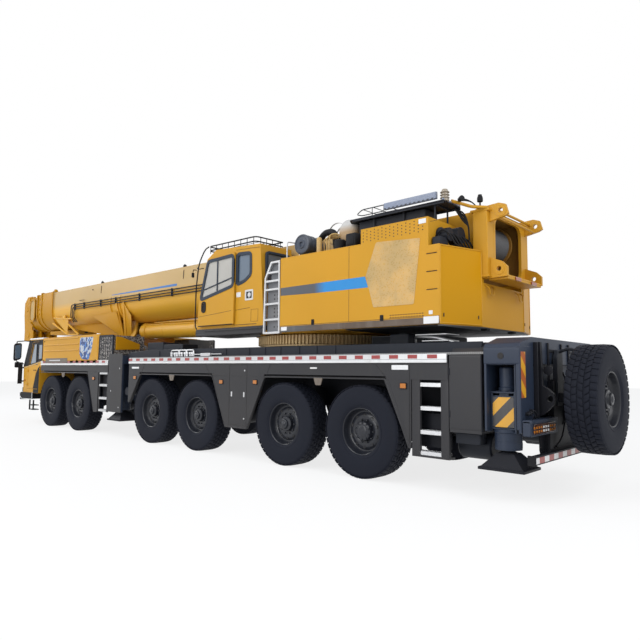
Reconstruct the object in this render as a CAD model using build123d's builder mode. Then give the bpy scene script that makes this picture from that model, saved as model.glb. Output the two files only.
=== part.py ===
from build123d import *
import math
import os

os.makedirs("parts", exist_ok=True)

# ---------------------------------------------------------------- sizes (mm)
# Lengths along X are taken from the rearmost axle (number 6) and shifted by X0,
# so that the middle of the whole crane lies at X = 0.  +X forward, +Y left.
HEAD_X = 15950.0                     # boom head, ahead of axle 6
REAR_X = -3225.0                     # outer tread of the spare wheel
X0 = -(HEAD_X + REAR_X) / 2

AXLES = [("1", 10920.0), ("2", 9270.0), ("3", 5780.0), ("4", 4130.0), ("5", 1650.0), ("6", 0.0)]
STEERED = ("1", "2", "6")
TYRE_R = 695.0                       # 14.00 R25 size
TYRE_W = 390.0
RIM_R = 348.0
WHEEL_Y = 1275.0
KINGPIN_Y = 1100.0
STUB_R = 60.0
KINGPIN_R = 42.0
RUNNING = 0.05                       # radial running clearance
GAP = 6.0                            # clearance round moving pieces

BODY_Y = 1500.0                      # half width
DECK_Z = 1850.0
SKIRT_Z = 550.0
FRAME_Y = 450.0
FRAME_Z = (980.0, 1620.0)
FRAME_WALL = 20.0

SLEW_X = X0 + 1950.0
RING_R = 1330.0
RING_BORE = 1100.0
RING_Z = (2045.0, 2220.0)
TABLE_Z = 2232.0                     # underside of the turning part
PLATE_Y = (588.0, 638.0)             # side plates of the turntable

FOOT = (X0 - 300.0, 3450.0)          # boom foot pin
FOOT_R = 90.0
LUFF_BASE = (X0 + 3150.0, 2530.0)    # lower pin of the luffing cylinder
LUFF_EYE = (X0 + 9000.0, 2615.0)     # rod eye under the boom
LUFF_PIN_R = 80.0
BARREL_R = 205.0
ROD_R = 150.0
BARREL_LENGTH = 5130.0

WALL = 16.0                          # boom plate
# name, half width, top, bottom, rear end, front end, collar length
SECTIONS = [
    ("boom_section_2", 525.0, 3960.0, 2875.0, X0 + 700.0, X0 + 14470.0, 410.0),
    ("boom_section_3", 485.0, 3920.0, 2915.0, X0 + 900.0, X0 + 15210.0, 730.0),
    ("boom_section_4", 445.0, 3880.0, 2955.0, X0 + 1100.0, X0 + 15260.0, 0.0),
]
BASE_HALF = 565.0
BASE_Z = (2835.0, 4000.0)
BASE_END = X0 + 14050.0
BASE_COLLAR = 860.0
RIB_TOP = 3450.0                     # ribs of the cylinder bracket end here

JACK_X = {"front": X0 + 7310.0, "rear": X0 - 2210.0}
JACK_Y = 1250.0
BEAM_W = 150.0
PAD = (600.0, 500.0)
BEAM_Z = (930.0, 1290.0)
BOX_W = 2 * BEAM_W + 30 + 2 * GAP + 32   # outrigger box, fore and aft
REAR_CAP = [(-1500, 1702), (1500, 1702), (1500, 1900), (1430, 1955), (1120, 2040), (-1120, 2040), (-1430, 1955), (-1500, 1900)]


def box(x0, x1, y0, y1, z0, z1, mode=Mode.ADD):
    """A block between six faces."""
    with Locations(((x0 + x1) / 2, (y0 + y1) / 2, (z0 + z1) / 2)):
        Box(abs(x1 - x0), abs(y1 - y0), z1 - z0, mode=mode)


def prism(points, y0, y1, mode=Mode.ADD):
    """A side outline (x, z) carried across from y0 to y1."""
    with BuildSketch(Plane.XZ.offset(-min(y0, y1))) as outline:
        Polygon(*points, align=None)
    extrude(outline.sketch, amount=-abs(y1 - y0), mode=mode)


def rod_y(x, z, radius, y0, y1, mode=Mode.ADD):
    """A round bar or hole across the crane."""
    with Locations(Location((x, (y0 + y1) / 2, z), (90, 0, 0))):
        Cylinder(radius, abs(y1 - y0), mode=mode)


def rod_z(x, y, radius, z0, z1, mode=Mode.ADD):
    """An upright round bar or hole."""
    with Locations((x, y, (z0 + z1) / 2)):
        Cylinder(radius, z1 - z0, mode=mode)


def shifted(points, grow=0.0):
    """The outline from axle 6 to the crane's middle, grown about its centre."""
    cx = sum(x for x, z in points) / len(points)
    cz = sum(z for x, z in points) / len(points)
    return [(X0 + x + (grow if x > cx else -grow), z + (grow if z > cz else -grow)) for x, z in points]


def save(built, name):
    built.part.label = name
    export_step(built.part, f"parts/{name}.step")


# ------------------------------------------------------------------ wheels
# outward offset from the wheel's middle plane, radius
WHEEL_PROFILE = [
    (-95, STUB_R + RUNNING), (150, STUB_R + RUNNING), (150, 120), (125, 150), (70, 165), (48, 300),
    (90, 318), (150, 326), (165, RIM_R), (172, RIM_R + 12), (195, 500), (190, 600), (172, 668), (150, TYRE_R),
    (-150, TYRE_R), (-172, 668), (-190, 600), (-195, 500), (-172, RIM_R + 12), (-165, RIM_R),
    (-150, 326), (5, 312), (20, 170), (-95, 150),
]


def wheel_solid(x, side):
    plane = Plane(origin=(x, side * WHEEL_Y, TYRE_R), x_dir=(0, side, 0), z_dir=(side, 0, 0))
    with BuildSketch(plane) as half:
        Polygon(*WHEEL_PROFILE, align=None)
    revolve(half.sketch, axis=Axis((x, 0, TYRE_R), (0, 1, 0)))


for number, along in AXLES:
    for name, side in (("left", 1), ("right", -1)):
        with BuildPart() as wheel:
            wheel_solid(X0 + along, side)
        save(wheel, f"wheel_{number}_{name}")

with BuildPart() as spare_wheel:
    plane = Plane(origin=(REAR_X + X0 + TYRE_W / 2, 400, 1265), x_dir=(-1, 0, 0), z_dir=(0, 1, 0))
    with BuildSketch(plane):
        Polygon(*WHEEL_PROFILE, align=None)
    revolve(axis=Axis((0, 400, 1265), (1, 0, 0)))
save(spare_wheel, "spare_wheel")

# ------------------------------------------------------- axles and steering
YOKE = 150.0                         # half height of the kingpin yoke
with BuildPart() as axle_beams:
    for number, along in AXLES:
        x = X0 + along
        steered = number in STEERED
        end = KINGPIN_Y - 85 if steered else WHEEL_Y - 150
        box(x - 75, x + 75, -end, end, TYRE_R - 75, TYRE_R + 75)
        with Locations((x, 0, TYRE_R)):
            Sphere(230)
        for side in (1, -1):
            box(x - 60, x + 60, side * FRAME_Y, side * (FRAME_Y + 130), TYRE_R + 60, 1300)
            if steered:
                box(x - 75, x + 75, side * (end - 60), side * end, TYRE_R - YOKE, TYRE_R + YOKE)
                for z0, z1 in ((TYRE_R - YOKE, TYRE_R - 90), (TYRE_R + 90, TYRE_R + YOKE)):
                    box(x - 60, x + 60, side * (end - 10), side * KINGPIN_Y, z0, z1)
                    rod_z(x, side * KINGPIN_Y, 60, z0, z1)
                rod_z(x, side * KINGPIN_Y, KINGPIN_R + RUNNING, TYRE_R - YOKE - 5, TYRE_R + YOKE + 5, Mode.SUBTRACT)
            else:
                rod_y(x, TYRE_R, STUB_R, side * (end - 40), side * (WHEEL_Y + 145))
    for (front, x1), (back, x0) in zip(AXLES, AXLES[1:]):
        box(X0 + x0 + 240, X0 + x1 - 240, -45, 45, TYRE_R - 45, TYRE_R + 45)
save(axle_beams, "axle_beams")

for number, along in AXLES:
    if number not in STEERED:
        continue
    for name, side in (("left", 1), ("right", -1)):
        x = X0 + along
        y = side * KINGPIN_Y
        with BuildPart() as knuckle:
            rod_z(x, y, KINGPIN_R, TYRE_R - YOKE - 20, TYRE_R + YOKE + 20)
            rod_z(x, y, 74, TYRE_R - 84, TYRE_R + 84)
            rod_y(x, TYRE_R, 80, y, side * (WHEEL_Y - 100))
            rod_y(x, TYRE_R, STUB_R, y, side * (WHEEL_Y + 145))
        save(knuckle, f"knuckle_{number}_{name}")

# ----------------------------------------------------------- carrier frame
PEDESTAL_R = 1290.0
with BuildPart() as carrier_frame:
    box(JACK_X["rear"] + BOX_W / 2 + 1, JACK_X["front"] - BOX_W / 2 - 1, -FRAME_Y, FRAME_Y, *FRAME_Z)
    box(JACK_X["front"] + BOX_W / 2 + 1, X0 + 11670, -FRAME_Y, FRAME_Y, *FRAME_Z)
    box(X0 - 2100, X0 + 11680, -FRAME_Y + FRAME_WALL, FRAME_Y - FRAME_WALL, FRAME_Z[0] + FRAME_WALL, FRAME_Z[1] - FRAME_WALL, Mode.SUBTRACT)
    box(X0 + 11700, X0 + 12860, -FRAME_Y, FRAME_Y, 700, 740)
    box(X0 + 11650, X0 + 11745, -FRAME_Y, FRAME_Y, 700, 1555)
    with BuildSketch(Plane.XY.offset(FRAME_Z[1])):
        with Locations((SLEW_X, 0)):
            RegularPolygon(PEDESTAL_R, 16, rotation=11.25)
    extrude(amount=RING_Z[0] - FRAME_Z[1])
    rod_z(SLEW_X, 0, PEDESTAL_R - 60, FRAME_Z[1], RING_Z[0] - 50, Mode.SUBTRACT)
    rod_z(SLEW_X, 0, RING_BORE - 150, RING_Z[0] - 60, RING_Z[0] + 5, Mode.SUBTRACT)
    for x, reach in ((-1700, 890), (-1100, 1440), (2830, 1440), (3430, 1440), (6400, 1440), (7640, 1440), (8250, 1440), (11460, 1440)):
        box(X0 + x - 40, X0 + x + 40, -reach, reach, 1500, FRAME_Z[1])
save(carrier_frame, "carrier_frame")

# tail of the carrier: cross plate, tow plate, lamp boxes, bumper, spare wheel arm
TOW_R = 40.0
TOW_PLATE = [(-2484, 1980), (-2530, 1980), (-2545, 1430), (-2620, 1385), (-2685, 1330), (-2705, 1265), (-2685, 1200), (-2620, 1130), (-2545, 1060), (-2484, 1040)]
with BuildPart() as bumpers:
    box(X0 - 2540, X0 - 2484, -FRAME_Y, 600, 900, 1500)
    for side in (1, -1):
        box(X0 - 2590, X0 - 2484, side * 640, side * 1480, 830, 1010)
        box(X0 - 2560, X0 - 2484, side * 700, side * 800, 560, 840)
        prism([(X0 + x, z) for x, z in TOW_PLATE], side * 930, side * 990)
        rod_y(X0 - 2640, 1265, TOW_R, side * 920, side * 1000, Mode.SUBTRACT)
    box(X0 - 2640, X0 - 2560, -1480, 1480, 500, 600)
    box(X0 - 2820, X0 - 2484, 340, 460, 1205, 1325)
    with Locations(Location((X0 - 2900, 400, 1265), (0, 90, 0))):
        Cylinder(STUB_R, 200)
    box(X0 + 12866, X0 + 13010, -1490, 1490, 660, 850)
save(bumpers, "bumpers")

with BuildPart() as slew_ring:
    with BuildSketch(Plane.XY.offset(RING_Z[0])):
        with Locations((SLEW_X, 0)):
            Circle(RING_R)
            Circle(RING_BORE, mode=Mode.SUBTRACT)
    extrude(amount=RING_Z[1] - RING_Z[0])
save(slew_ring, "slew_ring")

# ---------------------------------------------------- skirts, deck, hoods
SKIN = (1440.0, BODY_Y)
# side outlines of the fenders, from axle 6: x, z
FENDERS = [
    [(-1500, 1480), (-500, 1480), (-500, 1520), (2100, 1520), (2100, 1480), (3580, 1480), (3580, 1520), (6220, 1520), (6220, 1480), (6680, 1480), (6680, DECK_Z - 35), (-1500, DECK_Z - 35)],
    [(-920, SKIRT_Z), (-880, SKIRT_Z), (-460, 1478), (-540, 1478)],
    [(2560, SKIRT_Z), (3160, SKIRT_Z), (3560, 1478), (2110, 1478)],
    [(6600, SKIRT_Z + 300), (6680, SKIRT_Z + 300), (6680, 1478), (6190, 1478)],
    [(7660, 1650), (8140, 1650), (11560, 1650), (11560, 1715), (7660, 1715)],
    [(7660, 1500), (8690, 1500), (8690, 1520), (11560, 1520), (11560, 1648), (7660, 1648)],
    [(8130, SKIRT_Z), (8320, SKIRT_Z), (8690, 1498), (8130, 1498)],
]
with BuildPart() as side_skirts:
    for outline in FENDERS:
        points = [(X0 + x, z) for x, z in outline]
        for side in (1, -1):
            prism(points, side * SKIN[0], side * SKIN[1])
    for x0, x1 in ((-500, 2100), (3580, 6220), (8690, 11560)):
        for side in (1, -1):
            box(X0 + x0, X0 + x1, side * 800, side * SKIN[0], 1482, 1498)
save(side_skirts, "side_skirts")

COAMING_Y = 1345.0                   # clear of the turning ring
with BuildPart() as deck_plates:
    box(X0 - 2010, X0 + 6680, -BODY_Y, BODY_Y, DECK_Z - 30, DECK_Z)
    rod_z(SLEW_X, 0, PEDESTAL_R + 10, DECK_Z - 40, DECK_Z + 10, Mode.SUBTRACT)
    box(X0 + 7660, X0 + 8130, -1435, 1435, 1718, 1748)
    for side in (1, -1):
        box(X0 - 1930, X0 + 6670, side * COAMING_Y, side * (COAMING_Y + 40), DECK_Z - 5, 1985)
    box(X0 - 660, X0 + 420, -620, 620, DECK_Z - 5, 2165)
save(deck_plates, "deck_plates")

HOOD = (X0 + 8160, X0 + 11450)
with BuildPart() as engine_hood:
    for side in (1, -1):
        box(*HOOD, side * 640, side * BODY_Y, 1718, 2440)
        box(HOOD[0] + 20, HOOD[1] - 20, side * 660, side * (BODY_Y - 20), 1700, 2420, Mode.SUBTRACT)
    box(*HOOD, -640, 640, 2080, 2100)
save(engine_hood, "engine_hood")

with BuildPart() as engine_block:
    box(X0 + 8400, X0 + 11200, -430, 430, FRAME_Z[1], 2075)
save(engine_block, "engine_block")

with BuildPart() as radiator:
    for side in (1, -1):
        box(X0 + 7490, X0 + 8150, side * 660, side * (BODY_Y - 10), 1750, 2390)
save(radiator, "radiator")

with BuildPart() as toolboxes:
    for side in (1, -1):
        box(X0 - 1970, X0 - 1525, side * 900, side * BODY_Y, 810, DECK_Z - 35)
        box(X0 + 7620, X0 + 8110, side * 700, side * 1380, 900, 1490)
save(toolboxes, "toolboxes")

with BuildPart() as carrier_ladders:
    for side in (1, -1):
        for x0, x1, y in ((-1510, -1380, 1470), (-1070, -930, 1470)):
            box(X0 + x0 + 40, X0 + x1 - 40, side * (y - 30), side * y, 470, 1478)
        for z in (480, 760, 1080, 1400):
            box(X0 - 1470, X0 - 970, side * 1340, side * 1470, z, z + 30)
        for x in (7645, 8070):
            box(X0 + x, X0 + x + 40, side * 1460, side * 1490, 560, 1495)
        for z in (580, 870, 1180):
            box(X0 + 7645, X0 + 8110, side * 1385, side * 1490, z, z + 30)
save(carrier_ladders, "carrier_ladders")

# ---------------------------------------------------------- outriggers
with BuildPart() as outrigger_boxes:
    for x in JACK_X.values():
        box(x - BOX_W / 2, x + BOX_W / 2, -1440, 1440, 850, 1700)
        box(x - BOX_W / 2 + 16, x + BOX_W / 2 - 16, -1450, 1450, 870, 1684, Mode.SUBTRACT)
        box(x - BOX_W / 2, x + BOX_W / 2, -1030, 1030, BEAM_Z[1] + GAP, BEAM_Z[1] + GAP + 16)
        for side in (1, -1):
            box(x - BOX_W / 2 + 16, x + BOX_W / 2 - 16, side * 1040, side * 1450, 840, 1000, Mode.SUBTRACT)
    with BuildSketch(Plane.YZ.offset(X0 - 2480)):
        Polygon(*REAR_CAP, align=None)
    extrude(amount=465)
    box(X0 + 6985, X0 + 7640, -BODY_Y, BODY_Y, 1702, 1900)
    box(X0 + 7470, X0 + 7650, -BODY_Y - 5, BODY_Y + 5, 1740, 1910, Mode.SUBTRACT)
save(outrigger_boxes, "outrigger_boxes")

for place, x in JACK_X.items():
    for name, side in (("left", 1), ("right", -1)):
        lane = x + side * (BEAM_W / 2 + 15)
        y = side * JACK_Y
        with BuildPart() as outrigger_beam:
            box(lane - BEAM_W / 2, lane + BEAM_W / 2, -side * 1000, side * 1120, *BEAM_Z)
            box(x - 150, x + 150, side * 1100, side * 1120, BEAM_Z[0] - 20, BEAM_Z[1] + 60)
            rod_z(x, y, 95, BEAM_Z[0] - 110, 1640)
            box(x - 60, x + 60, side * 1110, side * 1365, BEAM_Z[0] - 20, BEAM_Z[1] + 60)
            box(x - 140, x + 140, side * 1360, side * 1385, BEAM_Z[0] - 20, BEAM_Z[1] + 10)
            box(x - 165, x + 165, side * 1120, side * 1390, BEAM_Z[1] + 40, BEAM_Z[1] + 60)
            rod_z(x, y, 165, 630, 845)
            rod_z(x, y, 70 + RUNNING, 620, 1600, Mode.SUBTRACT)
            if place == "front":
                box(x - 320, x + 320, side * 1455, side * 1495, 590, 1690)
                box(x - 30, x + 30, side * 1380, side * 1460, BEAM_Z[0], BEAM_Z[1])
        save(outrigger_beam, f"outrigger_beam_{place}_{name}")
        with BuildPart() as outrigger_jack:
            rod_z(x, y, 70, 560, 1590)
            box(x - PAD[0] / 2, x + PAD[0] / 2, y - PAD[1] / 2, y + PAD[1] / 2, 385, 415)
            with BuildSketch(Plane.XY.offset(415)):
                with Locations((x, y)):
                    Rectangle(PAD[0] - 40, PAD[1] - 40)
            with BuildSketch(Plane.XY.offset(590)):
                with Locations((x, y)):
                    Rectangle(220, 220)
            loft()
        save(outrigger_jack, f"outrigger_jack_{place}_{name}")

# ------------------------------------------------------------- carrier cab
CAB_OUT = [(11750, 870), (12855, 870), (12895, 1600), (12500, 2440), (11570, 2440), (11570, 1720), (11750, 1560)]
CAB_IN = [(11790, 960), (12815, 960), (12850, 1590), (12475, 2400), (11610, 2400), (11610, 1740), (11790, 1580)]
CAB_DOOR = [(11830, 990), (12550, 990), (12550, 1640), (12290, 2350), (11830, 2350)]
CAB_DOOR_GLASS = [(11900, 1680), (12480, 1680), (12235, 2290), (11900, 2290)]
CAB_HINGE = (X0 + 12577.0, 1486.0)      # door hinge line: x, y
HINGE_R = 12.0

with BuildPart() as front_cab_shell:
    prism(shifted(CAB_OUT), -1470, 1470)
    prism(shifted(CAB_IN), -1430, 1430, Mode.SUBTRACT)
    for side in (1, -1):
        prism(shifted(CAB_DOOR, GAP), side * 1400, side * 1510, Mode.SUBTRACT)
    with BuildSketch(Plane(origin=(X0 + 12900, 0, 0), x_dir=(0, 1, 0), z_dir=(1, 0, 0))):
        with Locations((0, 1995)):
            Rectangle(2600, 640)
    extrude(amount=-500, mode=Mode.SUBTRACT)
    box(X0 + 11550, X0 + 11650, -1200, 1200, 1900, 2300, Mode.SUBTRACT)
    prism([(X0 + 12620, 960), (X0 + 12820, 960), (X0 + 12840, 1580), (X0 + 12570, 1500)], -1400, 1400)
save(front_cab_shell, "front_cab_shell")

with BuildPart() as front_cab_glass:
    prism([(X0 + 12852, 1680), (X0 + 12560, 2300), (X0 + 12550, 2300), (X0 + 12842, 1680)], -1298, 1298)
    box(X0 + 11580, X0 + 11588, -1198, 1198, 1902, 2298)
save(front_cab_glass, "front_cab_glass")

with BuildPart() as front_cab_seats:
    for side in (1, -1):
        box(X0 + 11830, X0 + 12280, side * 620, side * 1120, 960, 1330)
        box(X0 + 11810, X0 + 11960, side * 620, side * 1120, 1330, 2000)
save(front_cab_seats, "front_cab_seats")

for name, side in (("left", 1), ("right", -1)):
    with BuildPart() as front_cab_door:
        prism(shifted(CAB_DOOR), side * 1432, side * 1468)
        prism(shifted(CAB_DOOR_GLASS), side * 1420, side * 1480, Mode.SUBTRACT)
        for z in (1080, 1480):
            rod_z(CAB_HINGE[0], side * CAB_HINGE[1], HINGE_R, z, z + 70)
            box(CAB_HINGE[0] - 60, CAB_HINGE[0] - 28, side * 1462, side * CAB_HINGE[1], z + 5, z + 65)
            box(CAB_HINGE[0] - 60, CAB_HINGE[0], side * 1474, side * CAB_HINGE[1], z + 5, z + 65)
    save(front_cab_door, f"front_cab_door_{name}")

# -------------------------------------------------------------- turntable
SIDE_PLATE = [(-1990, 3830), (-1950, 3970), (-1850, 4005), (-1500, 3980), (-1440, 3900), (-650, 3700), (-60, 3660), (300, 3300), (1300, 2900), (3100, 2760), (3300, 2560), (3300, 2240), (-1300, 2240), (-1300, 2910), (-1640, 2925), (-1960, 2940), (-1960, 3080), (-1880, 3160), (-1680, 3240), (-1680, 3750), (-1930, 3800)]
SIDE_WINDOW = [(-1100, 2800), (-1100, 3020), (-760, 3420), (0, 3020), (0, 2800)]
DRUM = (X0 - 1250.0, 3600.0)
DRUM_R = 275.0
FLANGE_R = 320.0
LUGS = [(-1880, 3890), (-1840, 3055)]
LUG_R = 35.0
with BuildPart() as turntable_frame:
    with BuildSketch(Plane.XY.offset(TABLE_Z)):
        with Locations((SLEW_X, 0)):
            Circle(RING_R - 30)
    extrude(amount=34)
    box(X0 - 1380, X0 + 3300, -PLATE_Y[1], PLATE_Y[1], TABLE_Z, 2300)
    for side in (1, -1):
        prism([(X0 + x, z) for x, z in SIDE_PLATE], side * PLATE_Y[0], side * PLATE_Y[1])
        prism([(X0 + x, z) for x, z in SIDE_WINDOW], side * PLATE_Y[0], side * PLATE_Y[1], Mode.SUBTRACT)
        box(X0 - 1370, X0 + 1720, side * (PLATE_Y[1] + 2), side * 1470, TABLE_Z + 8, 2268)
    box(X0 + 2210, X0 + 4180, 650, 1470, 2250, 2385)
    box(X0 + 1735, X0 + 2250, PLATE_Y[1], 1400, 2250, 2300)
    box(X0 - 1700, X0 - 1664, -PLATE_Y[0], PLATE_Y[0], 2905, 3930)
    box(X0 - 1710, X0 - 1650, -470, 470, 3000, 3880, Mode.SUBTRACT)
    box(X0 - 1950, X0 - 1664, -PLATE_Y[0], PLATE_Y[0], 2940, 2965)
    rod_z(SLEW_X, 0, RING_BORE - RUNNING, RING_Z[0] + 10, TABLE_Z + 10)
    rod_z(SLEW_X, 0, RING_BORE - 200, RING_Z[0], 2310, Mode.SUBTRACT)
    for side in (1, -1):
        rod_y(FOOT[0], FOOT[1], 190, side * PLATE_Y[0], side * (PLATE_Y[1] + 15))
        rod_y(FOOT[0], FOOT[1], FOOT_R + RUNNING, side * 560, side * 670, Mode.SUBTRACT)
        rod_y(DRUM[0], DRUM[1], 60 + RUNNING, side * 560, side * 670, Mode.SUBTRACT)
        for x, z in LUGS:
            rod_y(X0 + x, z, LUG_R, side * 560, side * 670, Mode.SUBTRACT)
        box(LUFF_BASE[0] - 140, LUFF_BASE[0] + 140, side * 165, side * 215, 2290, LUFF_BASE[1])
        rod_y(LUFF_BASE[0], LUFF_BASE[1], 140, side * 165, side * 215)
        rod_y(LUFF_BASE[0], LUFF_BASE[1], LUFF_PIN_R + RUNNING, side * 150, side * 225, Mode.SUBTRACT)
save(turntable_frame, "turntable_frame")

HOUSING = [(-1385, 2270), (1730, 2270), (1730, 3515), (-30, 3515), (-30, 3740), (-1215, 3740), (-1215, 3335), (-1385, 3335)]
with BuildPart() as machinery_housings:
    for side in (1, -1):
        prism(shifted(HOUSING), side * 660, side * 1490)
        box(X0 - 1365, X0 + 1710, side * 680, side * 1470, 2260, 3320, Mode.SUBTRACT)
    box(X0 + 1740, X0 + 2900, -1480, -660, 2270, 3300)
    box(X0 + 1760, X0 + 2880, -1460, -680, 2260, 3280, Mode.SUBTRACT)
save(machinery_housings, "machinery_housings")

with BuildPart() as tail_box:
    with BuildSketch(Plane.XY.offset(2232)):
        Polygon((X0 - 1390, 1490), (X0 - 1610, 720), (X0 - 1610, -720), (X0 - 1390, -1490), align=None)
    extrude(amount=3330 - 2232)
    box(X0 - 1390, X0 - 1310, -580, 580, 2310, 2860)
    box(X0 - 1620, X0 - 1300, -650, 650, 2870, 3340, Mode.SUBTRACT)
save(tail_box, "tail_box")

with BuildPart() as winch_drum:
    rod_y(DRUM[0], DRUM[1], DRUM_R, -420, 420)
    for y in (-440, 400):
        rod_y(DRUM[0], DRUM[1], FLANGE_R, y, y + 40)
    rod_y(DRUM[0], DRUM[1], 60, -PLATE_Y[1], PLATE_Y[1])
save(winch_drum, "winch_drum")

with BuildPart() as access_ladder:
    for x in (1755, 2150):
        box(X0 + x, X0 + x + 25, 1440, 1480, 2225, 3500)
    for z in (2300, 2620, 2940, 3260):
        box(X0 + 1770, X0 + 2160, 1400, 1480, z, z + 25)
    for x in (1755, 2150):
        box(X0 + x, X0 + x + 25, 1402, 1450, 2260, 2295)
save(access_ladder, "access_ladder")

# ------------------------------------------------------------ operator cab
OP_Y = (655.0, 1440.0)
OP_OUT = [(2205, 2390), (4190, 2390), (4160, 2950), (3900, 3780), (3620, 3935), (2325, 3880)]
OP_IN = [(2245, 2440), (4145, 2440), (4115, 2945), (3865, 3750), (3605, 3890), (2360, 3840)]
OP_DOOR = [(3000, 2450), (4095, 2450), (4070, 2950), (3845, 3740), (3000, 3800)]
OP_GLASS = [(3050, 3180), (4010, 2990), (3800, 3700), (3050, 3730)]
OP_QUARTER = [(2590, 3350), (2750, 3250), (2950, 3205), (2950, 3745), (2600, 3725)]
with BuildPart() as operator_cab_shell:
    prism(shifted(OP_OUT), *OP_Y)
    prism(shifted(OP_IN), OP_Y[0] + 40, OP_Y[1] - 40, Mode.SUBTRACT)
    prism(shifted(OP_DOOR, -20), OP_Y[1] - 60, OP_Y[1] + 20, Mode.SUBTRACT)
    prism(shifted(OP_QUARTER), OP_Y[1] - 60, OP_Y[1] + 20, Mode.SUBTRACT)
    prism(shifted(OP_GLASS), OP_Y[0] - 20, OP_Y[0] + 60, Mode.SUBTRACT)
    box(X0 + 3850, X0 + 4250, OP_Y[0] + 70, OP_Y[1] - 70, 2800, 3730, Mode.SUBTRACT)
    box(X0 + 2150, X0 + 2400, OP_Y[0] + 120, OP_Y[1] - 120, 3150, 3720, Mode.SUBTRACT)
    box(X0 + 2700, X0 + 3450, OP_Y[0] + 120, OP_Y[1] - 120, 3830, 3960, Mode.SUBTRACT)
save(operator_cab_shell, "operator_cab_shell")

with BuildPart() as operator_cab_glass:
    prism(shifted([(4165, 2805), (4158, 2950), (3915, 3727), (3905, 3727), (4146, 2950), (4155, 2805)]), OP_Y[0] + 74, OP_Y[1] - 74)
    box(X0 + 2705, X0 + 3445, OP_Y[0] + 124, OP_Y[1] - 124, 3895, 3903)
    box(X0 + 2290, X0 + 2298, OP_Y[0] + 124, OP_Y[1] - 124, 3160, 3710)
    prism(shifted(OP_QUARTER, -4), OP_Y[1] - 25, OP_Y[1] - 17)
    prism(shifted(OP_GLASS, -4), OP_Y[0] + 15, OP_Y[0] + 23)
save(operator_cab_glass, "operator_cab_glass")

with BuildPart() as operator_seat:
    box(X0 + 2620, X0 + 3120, 820, 1280, 2440, 2880)
    box(X0 + 2560, X0 + 2700, 820, 1280, 2880, 3520)
save(operator_seat, "operator_seat")

with BuildPart() as operator_cab_door:
    prism(shifted(OP_DOOR), OP_Y[1] + 12, OP_Y[1] + 48)
    prism(shifted(OP_GLASS), OP_Y[1], OP_Y[1] + 60, Mode.SUBTRACT)
save(operator_cab_door, "operator_cab_door")


# ------------------------------------------------------------------ boom
def boom_tube(x0, x1, half, top, bottom, mode=Mode.ADD):
    """A flat-topped tube with a half-round underside."""
    with BuildSketch(Plane.YZ.offset(x0)) as outline:
        with Locations((0, bottom + half)):
            Circle(half)
        with Locations((0, (bottom + half + top) / 2)):
            Rectangle(2 * half, top - bottom - half)
    extrude(outline.sketch, amount=x1 - x0, mode=mode)


EYE_Y = 155.0                        # half width of the cylinder's eyes
# cheek of the rod-eye bracket, from the eye: x, z
CHEEK = [(-330, 2930), (-320, 2600), (-220, 2430), (-60, 2385), (60, 2385), (190, 2450), (260, 2560), (1500, 2930)]
with BuildPart() as boom_base:
    boom_tube(X0 + 300, BASE_END, BASE_HALF, BASE_Z[1], BASE_Z[0])
    boom_tube(BASE_END - BASE_COLLAR, BASE_END, BASE_HALF + 25, BASE_Z[1] + 25, BASE_Z[0] - 25)
    for x in (60, 560):
        boom_tube(LUFF_EYE[0] + x - 110, LUFF_EYE[0] + x - 80, BASE_HALF + 30, RIB_TOP, BASE_Z[0] - 30)
    for side in (1, -1):
        prism([(LUFF_EYE[0] + x, z) for x, z in CHEEK], side * (EYE_Y + 10), side * (EYE_Y + 60))
    boom_tube(X0 + 320, BASE_END + 10, BASE_HALF - WALL, BASE_Z[1] - WALL, BASE_Z[0] + WALL, Mode.SUBTRACT)
    for side in (1, -1):
        prism([(X0 + 340, 4000), (X0 - 60, 3940), (X0 - 520, 3560), (X0 - 520, 3330), (X0 - 350, 3200), (X0 + 340, 3060)], side * (BASE_HALF - 50), side * BASE_HALF)
        rod_y(FOOT[0], FOOT[1], 180, side * 500, side * 575)
    rod_y(FOOT[0], FOOT[1], FOOT_R, -PLATE_Y[1], PLATE_Y[1])
    rod_y(LUFF_EYE[0], LUFF_EYE[1], LUFF_PIN_R, -EYE_Y - 60, EYE_Y + 60)
save(boom_base, "boom_base")

HEAD_PLATE = [(15230, 3940), (15330, 4060), (15700, 4060), (HEAD_X, 3860), (HEAD_X, 3450), (15850, 2900), (15850, 2520), (15120, 2500), (15120, 2860), (15230, 2900)]
for name, half, top, bottom, rear, front, collar in SECTIONS:
    with BuildPart() as section:
        boom_tube(rear, front, half, top, bottom)
        if collar:
            boom_tube(front - collar, front, half + 34, top + 34, bottom - 34)
        boom_tube(rear - 10, front + 10, half - WALL, top - WALL, bottom + WALL, Mode.SUBTRACT)
        if not collar:
            boom_tube(front, X0 + 15400, 480, 3925, 2900)
            for side in (1, -1):
                for y in (380, 120):
                    prism(shifted(HEAD_PLATE), side * y, side * (y + 30))
            for x, z, radius in ((15720, 3640, 215), (15520, 2740, 180)):
                rod_y(X0 + x, z, 60, -410, 410)
                for y in (-265, 0, 265):
                    rod_y(X0 + x, z, radius, y - 60, y + 60)
    save(section, name)

# ------------------------------------------------------- luffing cylinder
LUFF_ANGLE = math.degrees(math.atan2(LUFF_EYE[1] - LUFF_BASE[1], LUFF_EYE[0] - LUFF_BASE[0]))
LUFF_LENGTH = math.hypot(LUFF_EYE[0] - LUFF_BASE[0], LUFF_EYE[1] - LUFF_BASE[1])
AXIS_PLANE = Plane(origin=(LUFF_BASE[0], 0, LUFF_BASE[1]), x_dir=(0, 1, 0),
                   z_dir=(math.cos(math.radians(LUFF_ANGLE)), 0, math.sin(math.radians(LUFF_ANGLE))))


def along_cylinder(radius, start, end, mode=Mode.ADD):
    with BuildSketch(AXIS_PLANE.offset(start)) as ring:
        Circle(radius)
    extrude(ring.sketch, amount=end - start, mode=mode)


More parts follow.
